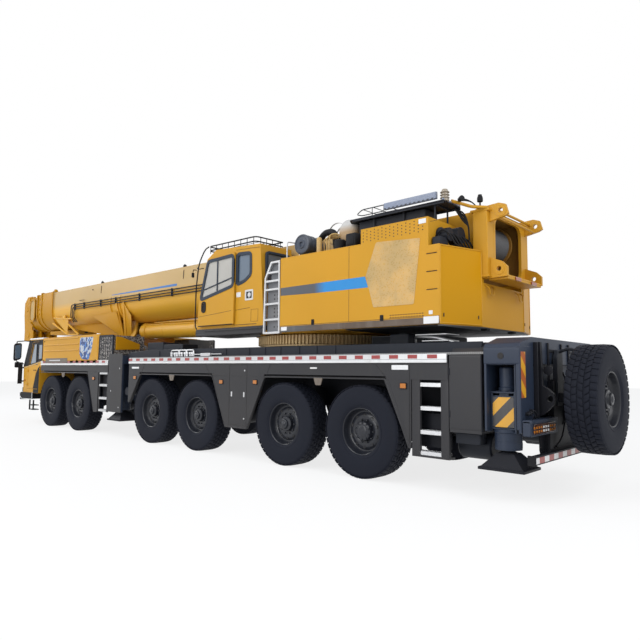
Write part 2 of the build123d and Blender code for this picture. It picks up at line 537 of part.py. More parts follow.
with BuildPart() as luffing_barrel:
    rod_y(LUFF_BASE[0], LUFF_BASE[1], 135, -EYE_Y, EYE_Y)
    along_cylinder(110, 0, 260)
    along_cylinder(BARREL_R, 250, 250 + BARREL_LENGTH)
    along_cylinder(ROD_R + RUNNING, 330, 260 + BARREL_LENGTH, Mode.SUBTRACT)
    rod_y(LUFF_BASE[0], LUFF_BASE[1], LUFF_PIN_R, -215, 215)
save(luffing_barrel, "luffing_barrel")

with BuildPart() as luffing_rod:
    along_cylinder(ROD_R, 360, LUFF_LENGTH - 60)
    rod_y(LUFF_EYE[0], LUFF_EYE[1], 150, -EYE_Y, EYE_Y)
    rod_y(LUFF_EYE[0], LUFF_EYE[1], LUFF_PIN_R + RUNNING, -EYE_Y - 10, EYE_Y + 10, Mode.SUBTRACT)
save(luffing_rod, "luffing_rod")
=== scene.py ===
import math
import bmesh
import bpy
import numpy as np
from mathutils import Matrix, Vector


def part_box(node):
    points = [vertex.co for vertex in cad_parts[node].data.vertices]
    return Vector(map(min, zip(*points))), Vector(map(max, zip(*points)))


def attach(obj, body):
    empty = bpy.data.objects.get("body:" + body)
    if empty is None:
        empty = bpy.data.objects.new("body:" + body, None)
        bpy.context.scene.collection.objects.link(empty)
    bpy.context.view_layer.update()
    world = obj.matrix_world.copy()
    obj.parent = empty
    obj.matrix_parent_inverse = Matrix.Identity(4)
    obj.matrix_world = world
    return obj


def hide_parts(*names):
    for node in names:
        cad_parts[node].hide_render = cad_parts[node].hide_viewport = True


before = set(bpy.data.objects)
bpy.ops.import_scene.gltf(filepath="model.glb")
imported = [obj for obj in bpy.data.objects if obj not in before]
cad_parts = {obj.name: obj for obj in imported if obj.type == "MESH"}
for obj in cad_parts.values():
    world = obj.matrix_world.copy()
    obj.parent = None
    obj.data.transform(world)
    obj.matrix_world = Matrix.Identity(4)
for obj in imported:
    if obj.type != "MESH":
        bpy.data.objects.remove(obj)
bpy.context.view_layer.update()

nodes = {o.name: o for o in bpy.data.objects if o.type == "MESH"}
X0 = -6.3625          # axle 6, measured from the middle of the crane
scene = bpy.context.scene

# ---- Camera and studio -------------------------------------------------
# A standing viewer off the rear left corner of the crane, with a lens a
# little wider than normal; plain floor, pale sky and soft lamps.
camera_data = bpy.data.cameras.new("viewer")
camera_data.sensor_width = 36.0
camera_data.lens = 32.23
camera_data.clip_end = 200.0
camera = bpy.data.objects.new("viewer", camera_data)
scene.collection.objects.link(camera)
scene.camera = camera


def look(place, heading, climb, lean):
    """Camera matrix: forward is +X turned clockwise by heading and raised by climb,
    right and up are square to it and leaned by the last angle."""
    forward = np.array([math.cos(heading) * math.cos(climb), -math.sin(heading) * math.cos(climb),
            math.sin(climb)])
    right = np.array([-math.sin(heading), -math.cos(heading), 0.0])
    up = np.cross(right, forward)
    leaned_right = right * math.cos(lean) + up * math.sin(lean)
    leaned_up = up * math.cos(lean) - right * math.sin(lean)
    turn = np.eye(4)
    turn[:3, :4] = np.stack([leaned_right, leaned_up, -forward, place], axis=1)
    return Matrix(turn.tolist())


camera.matrix_world = look((-11.7405, 8.247, 1.593), 0.83, 0.088, 0.009)

scene.view_settings.view_transform = "Standard"
world = bpy.data.worlds.new("overcast")
scene.world = world
world.use_nodes = True
sky = world.node_tree
sky.nodes.clear()


def node(tree, kind, **settings):
    """A shader node with its plain settings given by name."""
    made = tree.nodes.new(kind)
    for key, value in settings.items():
        setattr(made, key, value)
    return made


def maths(tree, operation, a, b=None):
    """One arithmetic step on sockets or plain numbers."""
    made = node(tree, "ShaderNodeMath", operation=operation)
    for socket, value in zip(made.inputs, (a, b)):
        if value is None:
            continue
        if isinstance(value, (int, float)):
            socket.default_value = value
        else:
            tree.links.new(value, socket)
    return made.outputs[0]


def seen_only(tree, shown, lit):
    """One shader where the camera, a mirror or glass sees it, another for light."""
    path = node(tree, "ShaderNodeLightPath")
    direct = maths(tree, "MAXIMUM", path.outputs["Is Camera Ray"], path.outputs["Is Transmission Ray"])
    direct = maths(tree, "MAXIMUM", direct, path.outputs["Is Glossy Ray"])
    chosen = node(tree, "ShaderNodeMixShader")
    for socket, source in zip(chosen.inputs, (direct, lit.outputs[0], shown.outputs[0])):
        tree.links.new(source, socket)
    return chosen


white_sky = node(sky, "ShaderNodeBackground")
white_sky.inputs["Color"].default_value = (1, 1, 1, 1)
pale_sky = node(sky, "ShaderNodeBackground")
pale_sky.inputs["Color"].default_value = (0.9, 0.95, 1.0, 1)
pale_sky.inputs["Strength"].default_value = 0.62
sky_out = node(sky, "ShaderNodeOutputWorld")
sky.links.new(seen_only(sky, white_sky, pale_sky).outputs[0], sky_out.inputs[0])


def softbox(name, place, target, size, power):
    """Square lamp at a place, facing a target."""
    data = bpy.data.lights.new(name, "AREA")
    data.size = size
    data.energy = power
    lamp = bpy.data.objects.new(name, data)
    scene.collection.objects.link(lamp)
    back = np.array(place, float) - np.array(target, float)
    back /= np.linalg.norm(back)
    right = np.cross((0, 0, 1), back)
    right /= np.linalg.norm(right)
    turn = np.eye(4)
    turn[:3, :4] = np.stack([right, np.cross(back, right), back, place], axis=1)
    lamp.matrix_world = Matrix(turn.tolist())


softbox("sky_left", (-2, 20, 17), (-1, 0, 2), 16, 2350)
softbox("sky_low", (-2, 20, 3.4), (-1, 0, 3.0), 6, 560)
softbox("sky_ahead", (20, 9, 12), (2, 0, 2), 12, 1150)
softbox("sky_behind", (-19, 4, 10), (-6, 0, 2), 10, 900)

FLOOR = 60            # half its width
floor_mesh = bpy.data.meshes.new("floor")
floor_mesh.from_pydata([(x * FLOOR, y * FLOOR, 0) for x, y in ((-1, -1), (1, -1), (1, 1), (-1, 1))], [],
    [(0, 1, 2, 3)])
floor = bpy.data.objects.new("floor", floor_mesh)
scene.collection.objects.link(floor)
floor_finish = bpy.data.materials.new("floor")
floor_finish.use_nodes = True
pale = floor_finish.node_tree
pale.nodes.clear()
floor_white = node(pale, "ShaderNodeEmission")
floor_lit = node(pale, "ShaderNodeBsdfDiffuse")
floor_lit.inputs["Color"].default_value = (0.82, 0.8, 0.77, 1)
floor_shade = node(pale, "ShaderNodeBsdfDiffuse")
floor_shade.inputs["Color"].default_value = (0.93, 0.93, 0.94, 1)
floor_seen = node(pale, "ShaderNodeMixShader")
floor_seen.inputs[0].default_value = 0.8
pale.links.new(floor_shade.outputs[0], floor_seen.inputs[1])
pale.links.new(floor_white.outputs[0], floor_seen.inputs[2])
floor_out = node(pale, "ShaderNodeOutputMaterial")
pale.links.new(seen_only(pale, floor_seen, floor_lit).outputs[0], floor_out.inputs[0])
floor_mesh.materials.append(floor_finish)

# ---- Crane paint -------------------------------------------------------
# Two-pack enamel sprayed over primed steel, golden yellow on all that turns
# and on both cabs. Road film dulls it in soft patches and thin runs.


def group_tree(name, inputs, outputs):
    """An empty shader group with named sockets: name, kind, value."""
    tree = bpy.data.node_groups.new(name, "ShaderNodeTree")
    for label, kind, value in inputs:
        made = tree.interface.new_socket(label, in_out="INPUT", socket_type="NodeSocket" + kind)
        if value is not None:
            made.default_value = value
    for label, kind in outputs:
        tree.interface.new_socket(label, in_out="OUTPUT", socket_type="NodeSocket" + kind)
    return tree, node(tree, "NodeGroupInput"), node(tree, "NodeGroupOutput")


def noise(tree, scale, detail=3.0, stretch=None, rough=0.55):
    """Noise on the piece's own coordinates, drawn out along an axis if asked."""
    place = node(tree, "ShaderNodeTexCoord").outputs["Object"]
    if stretch:
        mapping = node(tree, "ShaderNodeMapping")
        mapping.inputs["Scale"].default_value = stretch
        tree.links.new(place, mapping.inputs["Vector"])
        place = mapping.outputs[0]
    made = node(tree, "ShaderNodeTexNoise")
    made.inputs["Scale"].default_value = scale
    made.inputs["Detail"].default_value = detail
    made.inputs["Roughness"].default_value = rough
    tree.links.new(place, made.inputs["Vector"])
    return made.outputs["Fac"]


def span(tree, value, low, high):
    """Stretches a value's range to 0 to 1, held at the ends."""
    made = node(tree, "ShaderNodeMapRange", clamp=True)
    made.inputs["From Min"].default_value = low
    made.inputs["From Max"].default_value = high
    tree.links.new(value, made.inputs["Value"])
    return made.outputs["Result"]


def blend(tree, mask, a, b, mode="MIX"):
    """Colour a where the mask is 0 and colour b where it is 1."""
    made = node(tree, "ShaderNodeMix", data_type="RGBA", blend_type=mode)
    for socket, value in zip((made.inputs[0], made.inputs[6], made.inputs[7]), (mask, a, b)):
        if isinstance(value, (int, float)):
            socket.default_value = value
        elif isinstance(value, tuple):
            socket.default_value = (*value, 1) if len(value) == 3 else value
        else:
            tree.links.new(value, socket)
    return made.outputs[2]


weather, weather_in, weather_out = group_tree("road_film",
    [("Colour", "Color", None), ("Film", "Color", (0.3, 0.27, 0.23, 1)), ("Amount", "Float", 0.3),
        ("Gloss", "Float", 0.35), ("Grain", "Float", 0.2)],
    [("Colour", "Color"), ("Roughness", "Float"), ("Height", "Float")])
patches = span(weather, noise(weather, 0.9, 5.0), 0.42, 0.72)
runs = span(weather, noise(weather, 1.0, 3.0, (7.0, 7.0, 0.35)), 0.52, 0.8)
specks = span(weather, noise(weather, 60.0, 2.0), 0.62, 0.8)
film = maths(weather, "MULTIPLY", maths(weather, "MAXIMUM", maths(weather, "MAXIMUM", patches, runs),
        maths(weather, "MULTIPLY", specks, 0.5)), weather_in.outputs["Amount"])
shade = blend(weather, span(weather, noise(weather, 0.35, 2.0), 0.35, 0.7), (0.9, 0.9, 0.9),
    (1.05, 1.04, 1.03))
tinted = blend(weather, 1.0, weather_in.outputs["Colour"], shade, "MULTIPLY")
weather.links.new(blend(weather, film, tinted, weather_in.outputs["Film"]), weather_out.inputs["Colour"])
weather.links.new(maths(weather, "ADD", weather_in.outputs["Gloss"],
        maths(weather, "MULTIPLY", film, 0.45)), weather_out.inputs["Roughness"])
weather.links.new(maths(weather, "MULTIPLY", noise(weather, 150.0, 2.0), weather_in.outputs["Grain"]),
    weather_out.inputs["Height"])


def finish(name, colour, gloss=0.35, film=0.25, grain=0.2, film_colour=(0.3, 0.27, 0.23), metal=0.0,
        coat=0.0, bump=0.002, clear=0.0, shine=0.5):
    """A material: one colour under the road film, with its own gloss and grain."""
    made = bpy.data.materials.new(name)
    made.use_nodes = True
    tree = made.node_tree
    surface = tree.nodes["Principled BSDF"]
    over = node(tree, "ShaderNodeGroup", node_tree=weather, name="film")
    over.inputs["Colour"].default_value = (*colour, 1)
    over.inputs["Film"].default_value = (*film_colour, 1)
    over.inputs["Amount"].default_value = film
    over.inputs["Gloss"].default_value = gloss
    over.inputs["Grain"].default_value = grain
    tree.links.new(over.outputs["Colour"], surface.inputs["Base Color"])
    tree.links.new(over.outputs["Roughness"], surface.inputs["Roughness"])
    raised = node(tree, "ShaderNodeBump", name="raised")
    raised.inputs["Distance"].default_value = bump
    tree.links.new(over.outputs["Height"], raised.inputs["Height"])
    tree.links.new(raised.outputs[0], surface.inputs["Normal"])
    surface.inputs["Metallic"].default_value = metal
    surface.inputs["Coat Weight"].default_value = coat
    surface.inputs["Transmission Weight"].default_value = clear
    surface.inputs["Specular IOR Level"].default_value = shine
    return made


def pattern(material, make):
    """Lays a pattern into a material: make(tree, colour) gives the new colour."""
    tree = material.node_tree
    over = tree.nodes["film"]
    base = tuple(over.inputs["Colour"].default_value)[:3]
    tree.links.new(make(tree, base), over.inputs["Colour"])
    return material


def axis_value(tree, axis):
    """One of the piece's own coordinates."""
    split = node(tree, "ShaderNodeSeparateXYZ")
    tree.links.new(node(tree, "ShaderNodeTexCoord").outputs["Object"], split.inputs[0])
    return split.outputs[axis]


yellow = finish("crane_yellow", (0.56, 0.28, 0.018), 0.42, 0.12, 0.22, (0.44, 0.28, 0.02), coat=0.05,
    shine=0.2)
boom_yellow = finish("boom_yellow", (0.67, 0.35, 0.022), 0.4, 0.14, 0.22, (0.5, 0.34, 0.1), coat=0.08,
    shine=0.3)


def coat_nodes(material, *names):
    """Gives CAD nodes their finish."""
    for name in names:
        slots = nodes[name].data.materials
        slots.clear()
        slots.append(material)


coat_nodes(yellow, "engine_hood", "front_cab_shell", "front_cab_door_left", "front_cab_door_right",
    "turntable_frame", "machinery_housings", "operator_cab_shell", "operator_cab_door")

# ---- Wheels ------------------------------------------------------------
# Wide single tyres on disc wheels with a drop-centre rim: ten nuts, hand
# holes, a hub cap or a planet hub. Tread blocks stand in five staggered rows.
chassis = finish("chassis_black", (0.012, 0.013, 0.018), 0.5, 0.15, 0.3, (0.035, 0.032, 0.03), shine=0.15)
cast_dark = finish("cast_dark", (0.014, 0.017, 0.025), 0.5, 0.12, 0.4, (0.05, 0.047, 0.045), shine=0.2)
hollow = finish("dark_hollow", (0.012, 0.012, 0.014), 0.8, 0.1, 0.2)
coat_nodes(chassis, "carrier_frame", "axle_beams", "bumpers")
coat_nodes(cast_dark, *[n for n in nodes if n.startswith("knuckle")])


def faces_of(rings, around, closed):
    """Quads between neighbouring rings of a grid, and a cap at each open end."""
    index = np.arange(rings * around).reshape(rings, around)
    if closed:
        index = np.vstack([index, index[:1]])
    low, high = index[:-1], index[1:]
    quads = np.stack([low, np.roll(low, -1, 1), np.roll(high, -1, 1), high], axis=-1)
    quads = quads.reshape(-1, 4).tolist()
    if not closed:
        quads += [index[0, ::-1].tolist(), index[-1].tolist()]
    return quads


def turned(profile, centre, axis, steps=48, closed=False):
    """Turned shape: point = centre + along * axis + radius * (cos a * u + sin a * v),
    for each (along, radius) of the profile and a full turn of a."""
    axis = np.array(axis, float) / np.linalg.norm(axis)
    u = np.cross(axis, (0, 0, 1) if abs(axis[2]) < 0.9 else (1, 0, 0))
    u /= np.linalg.norm(u)
    v = np.cross(axis, u)
    a = np.linspace(0, 2 * np.pi, steps, endpoint=False)
    along, radius = np.array(profile, float).T
    ring = np.cos(a)[:, None] * u + np.sin(a)[:, None] * v
    points = np.array(centre, float) + along[:, None, None] * axis + radius[:, None, None] * ring[None]
    return points.reshape(-1, 3), faces_of(len(profile), steps, closed)


def copies(shell, turns, shifts):
    """The same shell many times over: point = turn @ point + shift."""
    points, faces = shell
    turns, shifts = np.asarray(turns, float), np.asarray(shifts, float)
    placed = np.einsum("nij,pj->npi", turns, points) + shifts[:, None, :]
    offsets = np.arange(len(shifts)) * len(points)
    return placed.reshape(-1, 3), [[int(v + o) for v in face] for o in offsets for face in faces]


def about(axis, angles):
    """Turning matrices about an axis, one for each angle (Rodrigues' formula)."""
    axis = np.array(axis, float) / np.linalg.norm(axis)
    k = np.array([[0, -axis[2], axis[1]], [axis[2], 0, -axis[0]], [-axis[1], axis[0], 0]])
    a = np.atleast_1d(np.asarray(angles, float))[:, None, None]
    return np.eye(3) + np.sin(a) * k + (1 - np.cos(a)) * (k @ k)


def joined(shells):
    """A list of shells as one: their points and faces one after another. One shell stays."""
    if isinstance(shells, tuple):
        return shells
    points, faces, count = [], [], 0
    for some, quads in shells:
        points.append(some)
        faces += [[v + count for v in face] for face in quads]
        count += len(some)
    return np.vstack(points), faces


def piece(name, shells, material, body, *replaced, angle=35, slot=None):
    """Puts shells, given ahead of axle 6, into one mesh object: its points are theirs moved by
    X0, its faces look outwards and are smooth below the angle. It rides on a body."""
    points, faces = joined(shells)
    mesh = bpy.data.meshes.new(name)
    mesh.from_pydata((points + (X0, 0, 0)).tolist(), [], faces)
    work = bmesh.new()
    work.from_mesh(mesh)
    bmesh.ops.recalc_face_normals(work, faces=work.faces)
    work.to_mesh(mesh)
    work.free()
    mesh.polygons.foreach_set("use_smooth", np.ones(len(mesh.polygons), bool))
    mesh.set_sharp_from_angle(angle=math.radians(angle))
    mesh.materials.append(material)
    made = bpy.data.objects.new(name, mesh)
    scene.collection.objects.link(made)
    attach(made, body)
    if replaced:
        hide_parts(*replaced)
    return made


def carried(rings, along, closed=False):
    """Flat outlines, each at its own level along x, y or z, as the rings of one shell."""
    points = [np.insert(flat, "xyz".index(along), level, axis=1) for flat, level in rings]
    return np.vstack(points), faces_of(len(rings), len(points[0]), closed)


def chamfered(half, edge):
    """Block about the origin with its edges taken off: four rings of eight points."""
    x, y, z = half
    e = min(edge, x * 0.45, y * 0.45, z * 0.45)
    outline = np.array([(x, z - e), (x - e, z), (-x + e, z), (-x, z - e), (-x, -z + e), (-x + e, -z),
            (x - e, -z), (x, -z + e)])
    drawn = outline * np.array([(x - e) / x, (z - e) / z])
    return carried([(drawn, -y), (outline, -y + e), (outline, y - e), (drawn, y)], "y")


TYRE_R, WHEEL_Y = 0.695, 1.275
tyre_profile = np.array([(-0.15, 0.338), (-0.172, 0.352), (-0.186, 0.372), (-0.196, 0.43), (-0.199, 0.5),
        (-0.196, 0.57), (-0.191, 0.625), (-0.187, 0.655), (-0.166, 0.68), (-0.08, 0.681), (0.0, 0.683),
        (0.08, 0.681), (0.166, 0.68), (0.187, 0.655), (0.191, 0.625), (0.196, 0.57), (0.199, 0.5),
        (0.196, 0.43), (0.186, 0.372), (0.172, 0.352), (0.15, 0.338), (0.0, 0.33)])
TREAD_PITCHES, TREAD_R = 48, 0.687
BLOCK_LONG, BLOCK_TALL = 0.0385, 0.016
SHOULDER_AT, SHOULDER_DROP = 0.19, 0.008
tread_rows = [(-0.149, 0.041, 0.3), (-0.074, 0.031, 0.75), (0.0, 0.03, 0.2), (0.074, 0.031, 0.65),
    (0.149, 0.041, 0.1)]


def tread(centre, axis):
    """Tread blocks: each row's block is bent to the tyre and repeated round it, half a
    pitch from its neighbours, turned a little so that the grooves between run zigzag."""
    shells = []
    pitch = 2 * np.pi / TREAD_PITCHES
    axis = np.array(axis, float)
    u = np.cross(axis, (0, 0, 1) if abs(axis[2]) < 0.9 else (1, 0, 0))
    v = np.cross(axis, u)
    basis = np.stack([u, axis, v], axis=1)
    for n, (along, wide, phase) in enumerate(tread_rows):
        points, faces = chamfered((wide, BLOCK_LONG, BLOCK_TALL), 0.006)
        lean = (0.012 if n % 2 else -0.012) + 0.008 * np.sign(along)
        points[:, 1] += points[:, 0] / wide * lean
        drop = SHOULDER_DROP * (np.abs(along + points[:, 0]) / SHOULDER_AT) ** 4
        local = np.stack([points[:, 1], along + points[:, 0], TREAD_R + points[:, 2] * 0.5 - drop], axis=1)
        placed = local @ basis.T
        angles = (np.arange(TREAD_PITCHES) + phase) * pitch
        turns = about(axis, angles)
        shells.append(copies((placed, faces), turns, np.tile(np.array(centre, float), (TREAD_PITCHES, 1))))
    return joined(shells)


WALL_R = [0.352, 0.372, 0.43, 0.5, 0.57, 0.625, 0.652]
WALL_OUT = [0.172, 0.186, 0.196, 0.199, 0.195, 0.184, 0.175]
rubber = finish("tyre_rubber", (0.009, 0.011, 0.019), 0.7, 0.18, 0.5, (0.024, 0.023, 0.024), bump=0.002,
    shine=0.15)
rim_paint = finish("rim_paint", (0.014, 0.016, 0.023), 0.32, 0.12, 0.2, (0.045, 0.045, 0.045), coat=0.2,
    shine=0.3)

rim_profile = [(0.165, 0.346), (0.172, 0.352), (0.176, 0.346), (0.168, 0.336), (0.15, 0.33), (0.1, 0.326),
    (0.07, 0.312), (0.055, 0.3), (0.05, 0.285), (0.062, 0.262), (0.078, 0.235), (0.082, 0.205),
    (0.074, 0.172), (0.066, 0.15), (0.066, 0.075), (-0.09, 0.075), (-0.09, 0.15), (0.02, 0.165),
    (0.04, 0.28), (0.03, 0.305), (-0.145, 0.322), (-0.165, 0.346), (-0.172, 0.34), (-0.15, 0.334),
    (0.04, 0.332), (0.15, 0.338)]
plain_hub = [(0.04, 0.07), (0.04, 0.128), (0.12, 0.122), (0.128, 0.116), (0.134, 0.088), (0.142, 0.08),
    (0.166, 0.074), (0.172, 0.066), (0.172, 0.004)]
planet_hub = [(0.04, 0.07), (0.04, 0.15), (0.112, 0.146), (0.128, 0.136), (0.134, 0.118), (0.138, 0.112),
    (0.138, 0.088), (0.142, 0.082), (0.146, 0.06), (0.149, 0.004)]
stud = [(0.06, 0.004), (0.06, 0.019), (0.074, 0.019), (0.076, 0.0145), (0.098, 0.0145), (0.101, 0.011),
    (0.104, 0.004)]
cap_stud = [(0.13, 0.004), (0.13, 0.01), (0.146, 0.01), (0.149, 0.007), (0.149, 0.002)]

NUTS = 10


def wheel(name, centre, outward, hub, body, node_name):
    """Tyre with its tread and rings, and the rim with its hub, nuts and hand holes."""
    outward = np.array(outward, float)
    centre = np.array(centre, float)
    side_rings = []
    for flip in (1, -1):
        for middle, grow in ((0.395, 0.0035), (0.6, 0.003), (0.64, 0.004)):
            reach = np.interp(middle, WALL_R, WALL_OUT)
            side_rings.append(turned([(flip * (reach - 0.004), middle - 0.009),
                    (flip * (reach + grow), middle - 0.003), (flip * (reach + grow), middle + 0.003),
                    (flip * (reach - 0.008), middle + 0.009)], centre, outward, 72, True))
    piece(name + "_tyre", [turned(tyre_profile, centre, outward, 96, True), tread(centre, outward),
            *side_rings], rubber, body, node_name, slot="tyre_rubber")
    angles = np.arange(NUTS) * 2 * np.pi / NUTS
    u = np.cross(outward, (0, 0, 1))
    shells = [turned(rim_profile, centre, outward, 64, True), turned(hub, centre, outward, 40)]
    around = about(outward, angles)
    shells.append(copies(turned(stud, (0, 0, 0), outward, 6), around, centre + (around @ (u * 0.168))))
    if hub is planet_hub:
        small = about(outward, angles + 0.3)
        shells.append(copies(turned(cap_stud, (0, 0, 0), outward, 6), small,
                centre + (small @ (u * 0.128))))
        small = about(outward, np.arange(16) * 2 * np.pi / 16)
        shells.append(copies(turned(cap_stud, (0, 0, 0), outward, 6), small,
                centre - outward * 0.008 + (small @ (u * 0.098))))
    else:
        shells.append(turned([(0.16, 0.004), (0.16, 0.05), (0.176, 0.044), (0.184, 0.03), (0.186, 0.004)],
                centre, outward, 8))
    piece(name + "_rim", shells, rim_paint, body, angle=30)
    holes = about(outward, angles + math.pi / NUTS)
    hole = turned([(0.058, 0.004), (0.058, 0.024), (0.0785, 0.027), (0.082, 0.024), (0.08, 0.019),
            (0.066, 0.004)], (0, 0, 0), outward, 20)
    piece(name + "_hand_holes", copies(hole, holes, centre + (holes @ (u * 0.232))), hollow, body)


for number, along in zip("123456", (10.92, 9.27, 5.78, 4.13, 1.65, 0.0)):
    for side_name, side in (("left", 1), ("right", -1)):
        hub = planet_hub if number == "6" else plain_hub
        part = f"wheel_{number}_{side_name}"
        wheel(part, (along, side * WHEEL_Y, TYRE_R), (0, side, 0), hub, part, part)
wheel("spare", (-3.03, 0.4, 1.265), (-1, 0, 0), plain_hub, "carrier", "spare_wheel")

# ---- Carrier sides -----------------------------------------------------
# Pressed charcoal fenders and locker doors between the wheels, topped by an
# aluminium rail with a red and white reflective strip, and amber side lamps.
charcoal = finish("fender_charcoal", (0.034, 0.034, 0.038), 0.4, 0.2, 0.25, (0.06, 0.055, 0.05), coat=0.05,
    shine=0.2)
aluminium = finish("ladder_aluminium", (0.62, 0.63, 0.65), 0.36, 0.2, 0.3, (0.3, 0.29, 0.28), metal=0.75)
white_paint = finish("white_paint", (0.75, 0.76, 0.78), 0.4, 0.25, 0.2)
trim = finish("rubber_trim", (0.012, 0.0125, 0.015), 0.6, 0.12, 0.5, (0.05, 0.047, 0.045), shine=0.15)
amber = finish("lens_amber", (0.46, 0.145, 0.008), 0.2, 0.15, 0.1, coat=0.5)
coat_nodes(charcoal, "side_skirts", "toolboxes", "carrier_ladders")


def block(low, high, edge=0.003):
    """Block between two corners: half its size each way about its middle."""
    low, high = np.array(low, float), np.array(high, float)
    points, faces = chamfered(np.abs(high - low) / 2, edge)
    return points + (low + high) / 2, faces


def grown(outline, amount):
    """Outline moved outwards by an amount: each corner goes along its mitre,
    (n1 + n2) / (1 + n1 . n2), with n1 and n2 square to the sides that meet there."""
    flat = np.array(outline, float)
    after = np.roll(flat, -1, 0) - flat
    turn = np.sign(np.sum(flat[:, 0] * np.roll(flat[:, 1], -1) - flat[:, 1] * np.roll(flat[:, 0], -1)))
    normal = np.stack([after[:, 1], -after[:, 0]], 1) / np.linalg.norm(after, axis=1, keepdims=True) * turn
    before = np.roll(normal, 1, 0)
    return flat + (normal + before) / np.maximum(1 + np.sum(normal * before, 1, keepdims=True),
        0.4) * amount


def plate(outline, near, far, edge=0.002, along="y"):
    """Flat plate: its outline is carried from near to far, and drawn in by the edge at
    both faces."""
    flat, drawn = np.array(outline, float), grown(outline, -edge)
    step = edge * np.sign(far - near)
    return carried([(drawn, near), (flat, near + step), (flat, far - step), (drawn, far)], along)


def rounded(outline, radius, steps=5):
    """Outline with its corners rounded: (1-t)^2 p + 2t(1-t) c + t^2 q at each corner c."""
    flat = np.array(outline, float)
    back, ahead = np.roll(flat, 1, 0) - flat, np.roll(flat, -1, 0) - flat
    reach = [np.minimum(radius, np.linalg.norm(v, axis=1, keepdims=True) * 0.49) / np.linalg.norm(v, axis=1,
            keepdims=True) * v for v in (back, ahead)]
    t = np.linspace(0, 1, steps)[None, :, None]
    p, q = (flat + reach[0])[:, None], (flat + reach[1])[:, None]
    return ((1 - t) ** 2 * p + 2 * t * (1 - t) * flat[:, None] + t ** 2 * q).reshape(-1, 2)


def corners(x0, z0, x1, z1, radius=0, steps=5):
    """Upright rectangle from its low corner to its high one, rounded if a radius is given."""
    outline = [(x0, z0), (x1, z0), (x1, z1), (x0, z1)]
    return rounded(outline, radius, steps) if radius else outline


def tube(path, radius, around=10):
    """Round bar along a path: point = path(t) + radius * (cos a * side(t) + sin a * up(t)),
    with side and up square to the path and carried along it without twist."""
    path = np.array(path, float)
    tangent = np.gradient(path, axis=0)
    tangent /= np.linalg.norm(tangent, axis=1, keepdims=True)
    side = np.cross(tangent[0], (0.13, 0.29, 0.95))
    a = np.linspace(0, 2 * np.pi, around, endpoint=False)
    rings = []
    for place, ahead in zip(path, tangent):
        side = side - ahead * (side @ ahead)
        side /= np.linalg.norm(side)
        up = np.cross(ahead, side)
        rings.append(place + radius * (np.cos(a)[:, None] * side + np.sin(a)[:, None] * up))
    return np.vstack(rings), faces_of(len(path), around, False)


def bent(points, radius=0.04, steps=5):
    """Path through points with its inner corners rounded by the same curve as an outline's."""
    points = np.array(points, float)
    path = [points[0]]
    t = np.linspace(0, 1, steps)[:, None]
    for before, corner, after in zip(points, points[1:], points[2:]):
        p, q = (corner + (end - corner) * min(0.49, radius / np.linalg.norm(end - corner))
            for end in (before, after))
        path += list((1 - t) ** 2 * p + 2 * t * (1 - t) * corner + t ** 2 * q)
    return np.array(path + [points[-1]])


def mirrored(shells):
    """Shells and their reflection across the middle plane: y becomes -y."""
    points, faces = joined(shells)
    return joined([(points, faces), (points * (1, -1, 1), [face[::-1] for face in faces])])


AHEAD, ACROSS, UP = (1, 0, 0), (0, 1, 0), (0, 0, 1)


def disc(low, high, radius, bore, end=None):
    """Profile of a plain disc or ring between two levels, for turned."""
    return [(low, bore), (low, radius), (high, radius), (high, bore if end is None else end)]


def pipe(points, radius, bar, around=8, steps=5):
    """Round bar of a radius given as bar along the path through points, its corners rounded."""
    return tube(bent(points, radius, steps), bar, around)


def carrier_pair(name, shells, material, **more):
    """The same pieces on the left and right of the carrier."""
    return piece(name, mirrored(shells), material, "carrier", **more)


side_face = 1.498
rails, whites, reds, seams = [], [], [], []
for x0, x1, z in ((-1.49, 6.68, 1.758), (7.66, 11.56, 1.722)):
    rails.append(block((x0, side_face, z), (x1, 1.512, z + 0.075), 0.004))
    whites.append(block((x0, side_face, z - 0.045), (x1, 1.517, z - 0.003), 0.004))
    reds += [block((x, 1.51, z + 0.011), (x + 0.155, 1.5145, z + 0.065), 0.001)
        for x in np.arange(x0 + 0.14, x1 - 0.1, 0.315)]
carrier_pair("reflective_rails", rails, aluminium)
carrier_pair("rail_edges", whites, white_paint)
reflective_red = finish("reflective_red", (0.3, 0.03, 0.03), 0.3, 0.12, 0.2, coat=0.4)
carrier_pair("reflective_marks", reds, reflective_red)

fender_lines = [(-0.51, 1.49, -0.31, 1.7), (2.04, 1.49, 1.95, 1.7), (3.65, 1.49, 3.8, 1.7),
    (6.15, 1.49, 6.02, 1.7), (2.56, 0.58, 2.56, 1.68), (3.05, 0.58, 3.05, 1.68), (2.56, 1.68, 3.05, 1.68),
    (2.56, 0.6, 3.05, 0.6), (-0.9, 0.62, -0.9, 1.68)]
seams += [tube([(x0, 1.5005, z0), ((x0 + x1) / 2, 1.5005, (z0 + z1) / 2), (x1, 1.5005, z1)], 0.0035, 6)
    for x0, z0, x1, z1 in fender_lines]
seams.append(block((-1.49, 1.4995, 1.69), (6.68, 1.502, 1.694), 0.0005))
carrier_pair("fender_seams", seams, hollow)

lips = []
for low, x0, x1, ends in ((-0.88, -0.5, 2.1, [(2.56, 0.55)]), (3.16, 3.58, 6.2, [(6.62, 0.86)]),
        (8.32, 8.69, 11.56, [])):
    path = [(low, 0.55), (x0, 1.478), (x1, 1.478), *ends]
    lips.append(pipe([(x, 1.494, z) for x, z in path], 0.06, 0.011))
lips += [block((x0, 1.44, z - 0.012), (x1, 1.506, z + 0.01), 0.003)
    for x0, x1, z in ((-0.92, -0.88, 0.552), (2.56, 3.16, 0.552), (8.13, 8.32, 0.552))]
carrier_pair("fender_lips", lips, charcoal)
fender_tail = [(-0.5, 1.48), (-0.885, 0.545), (-0.925, 0.545), (-0.925, 1.5), (-0.5, 1.5)]
carrier_pair("fender_tails", plate(fender_tail, 1.486, side_face, 0.002), charcoal)

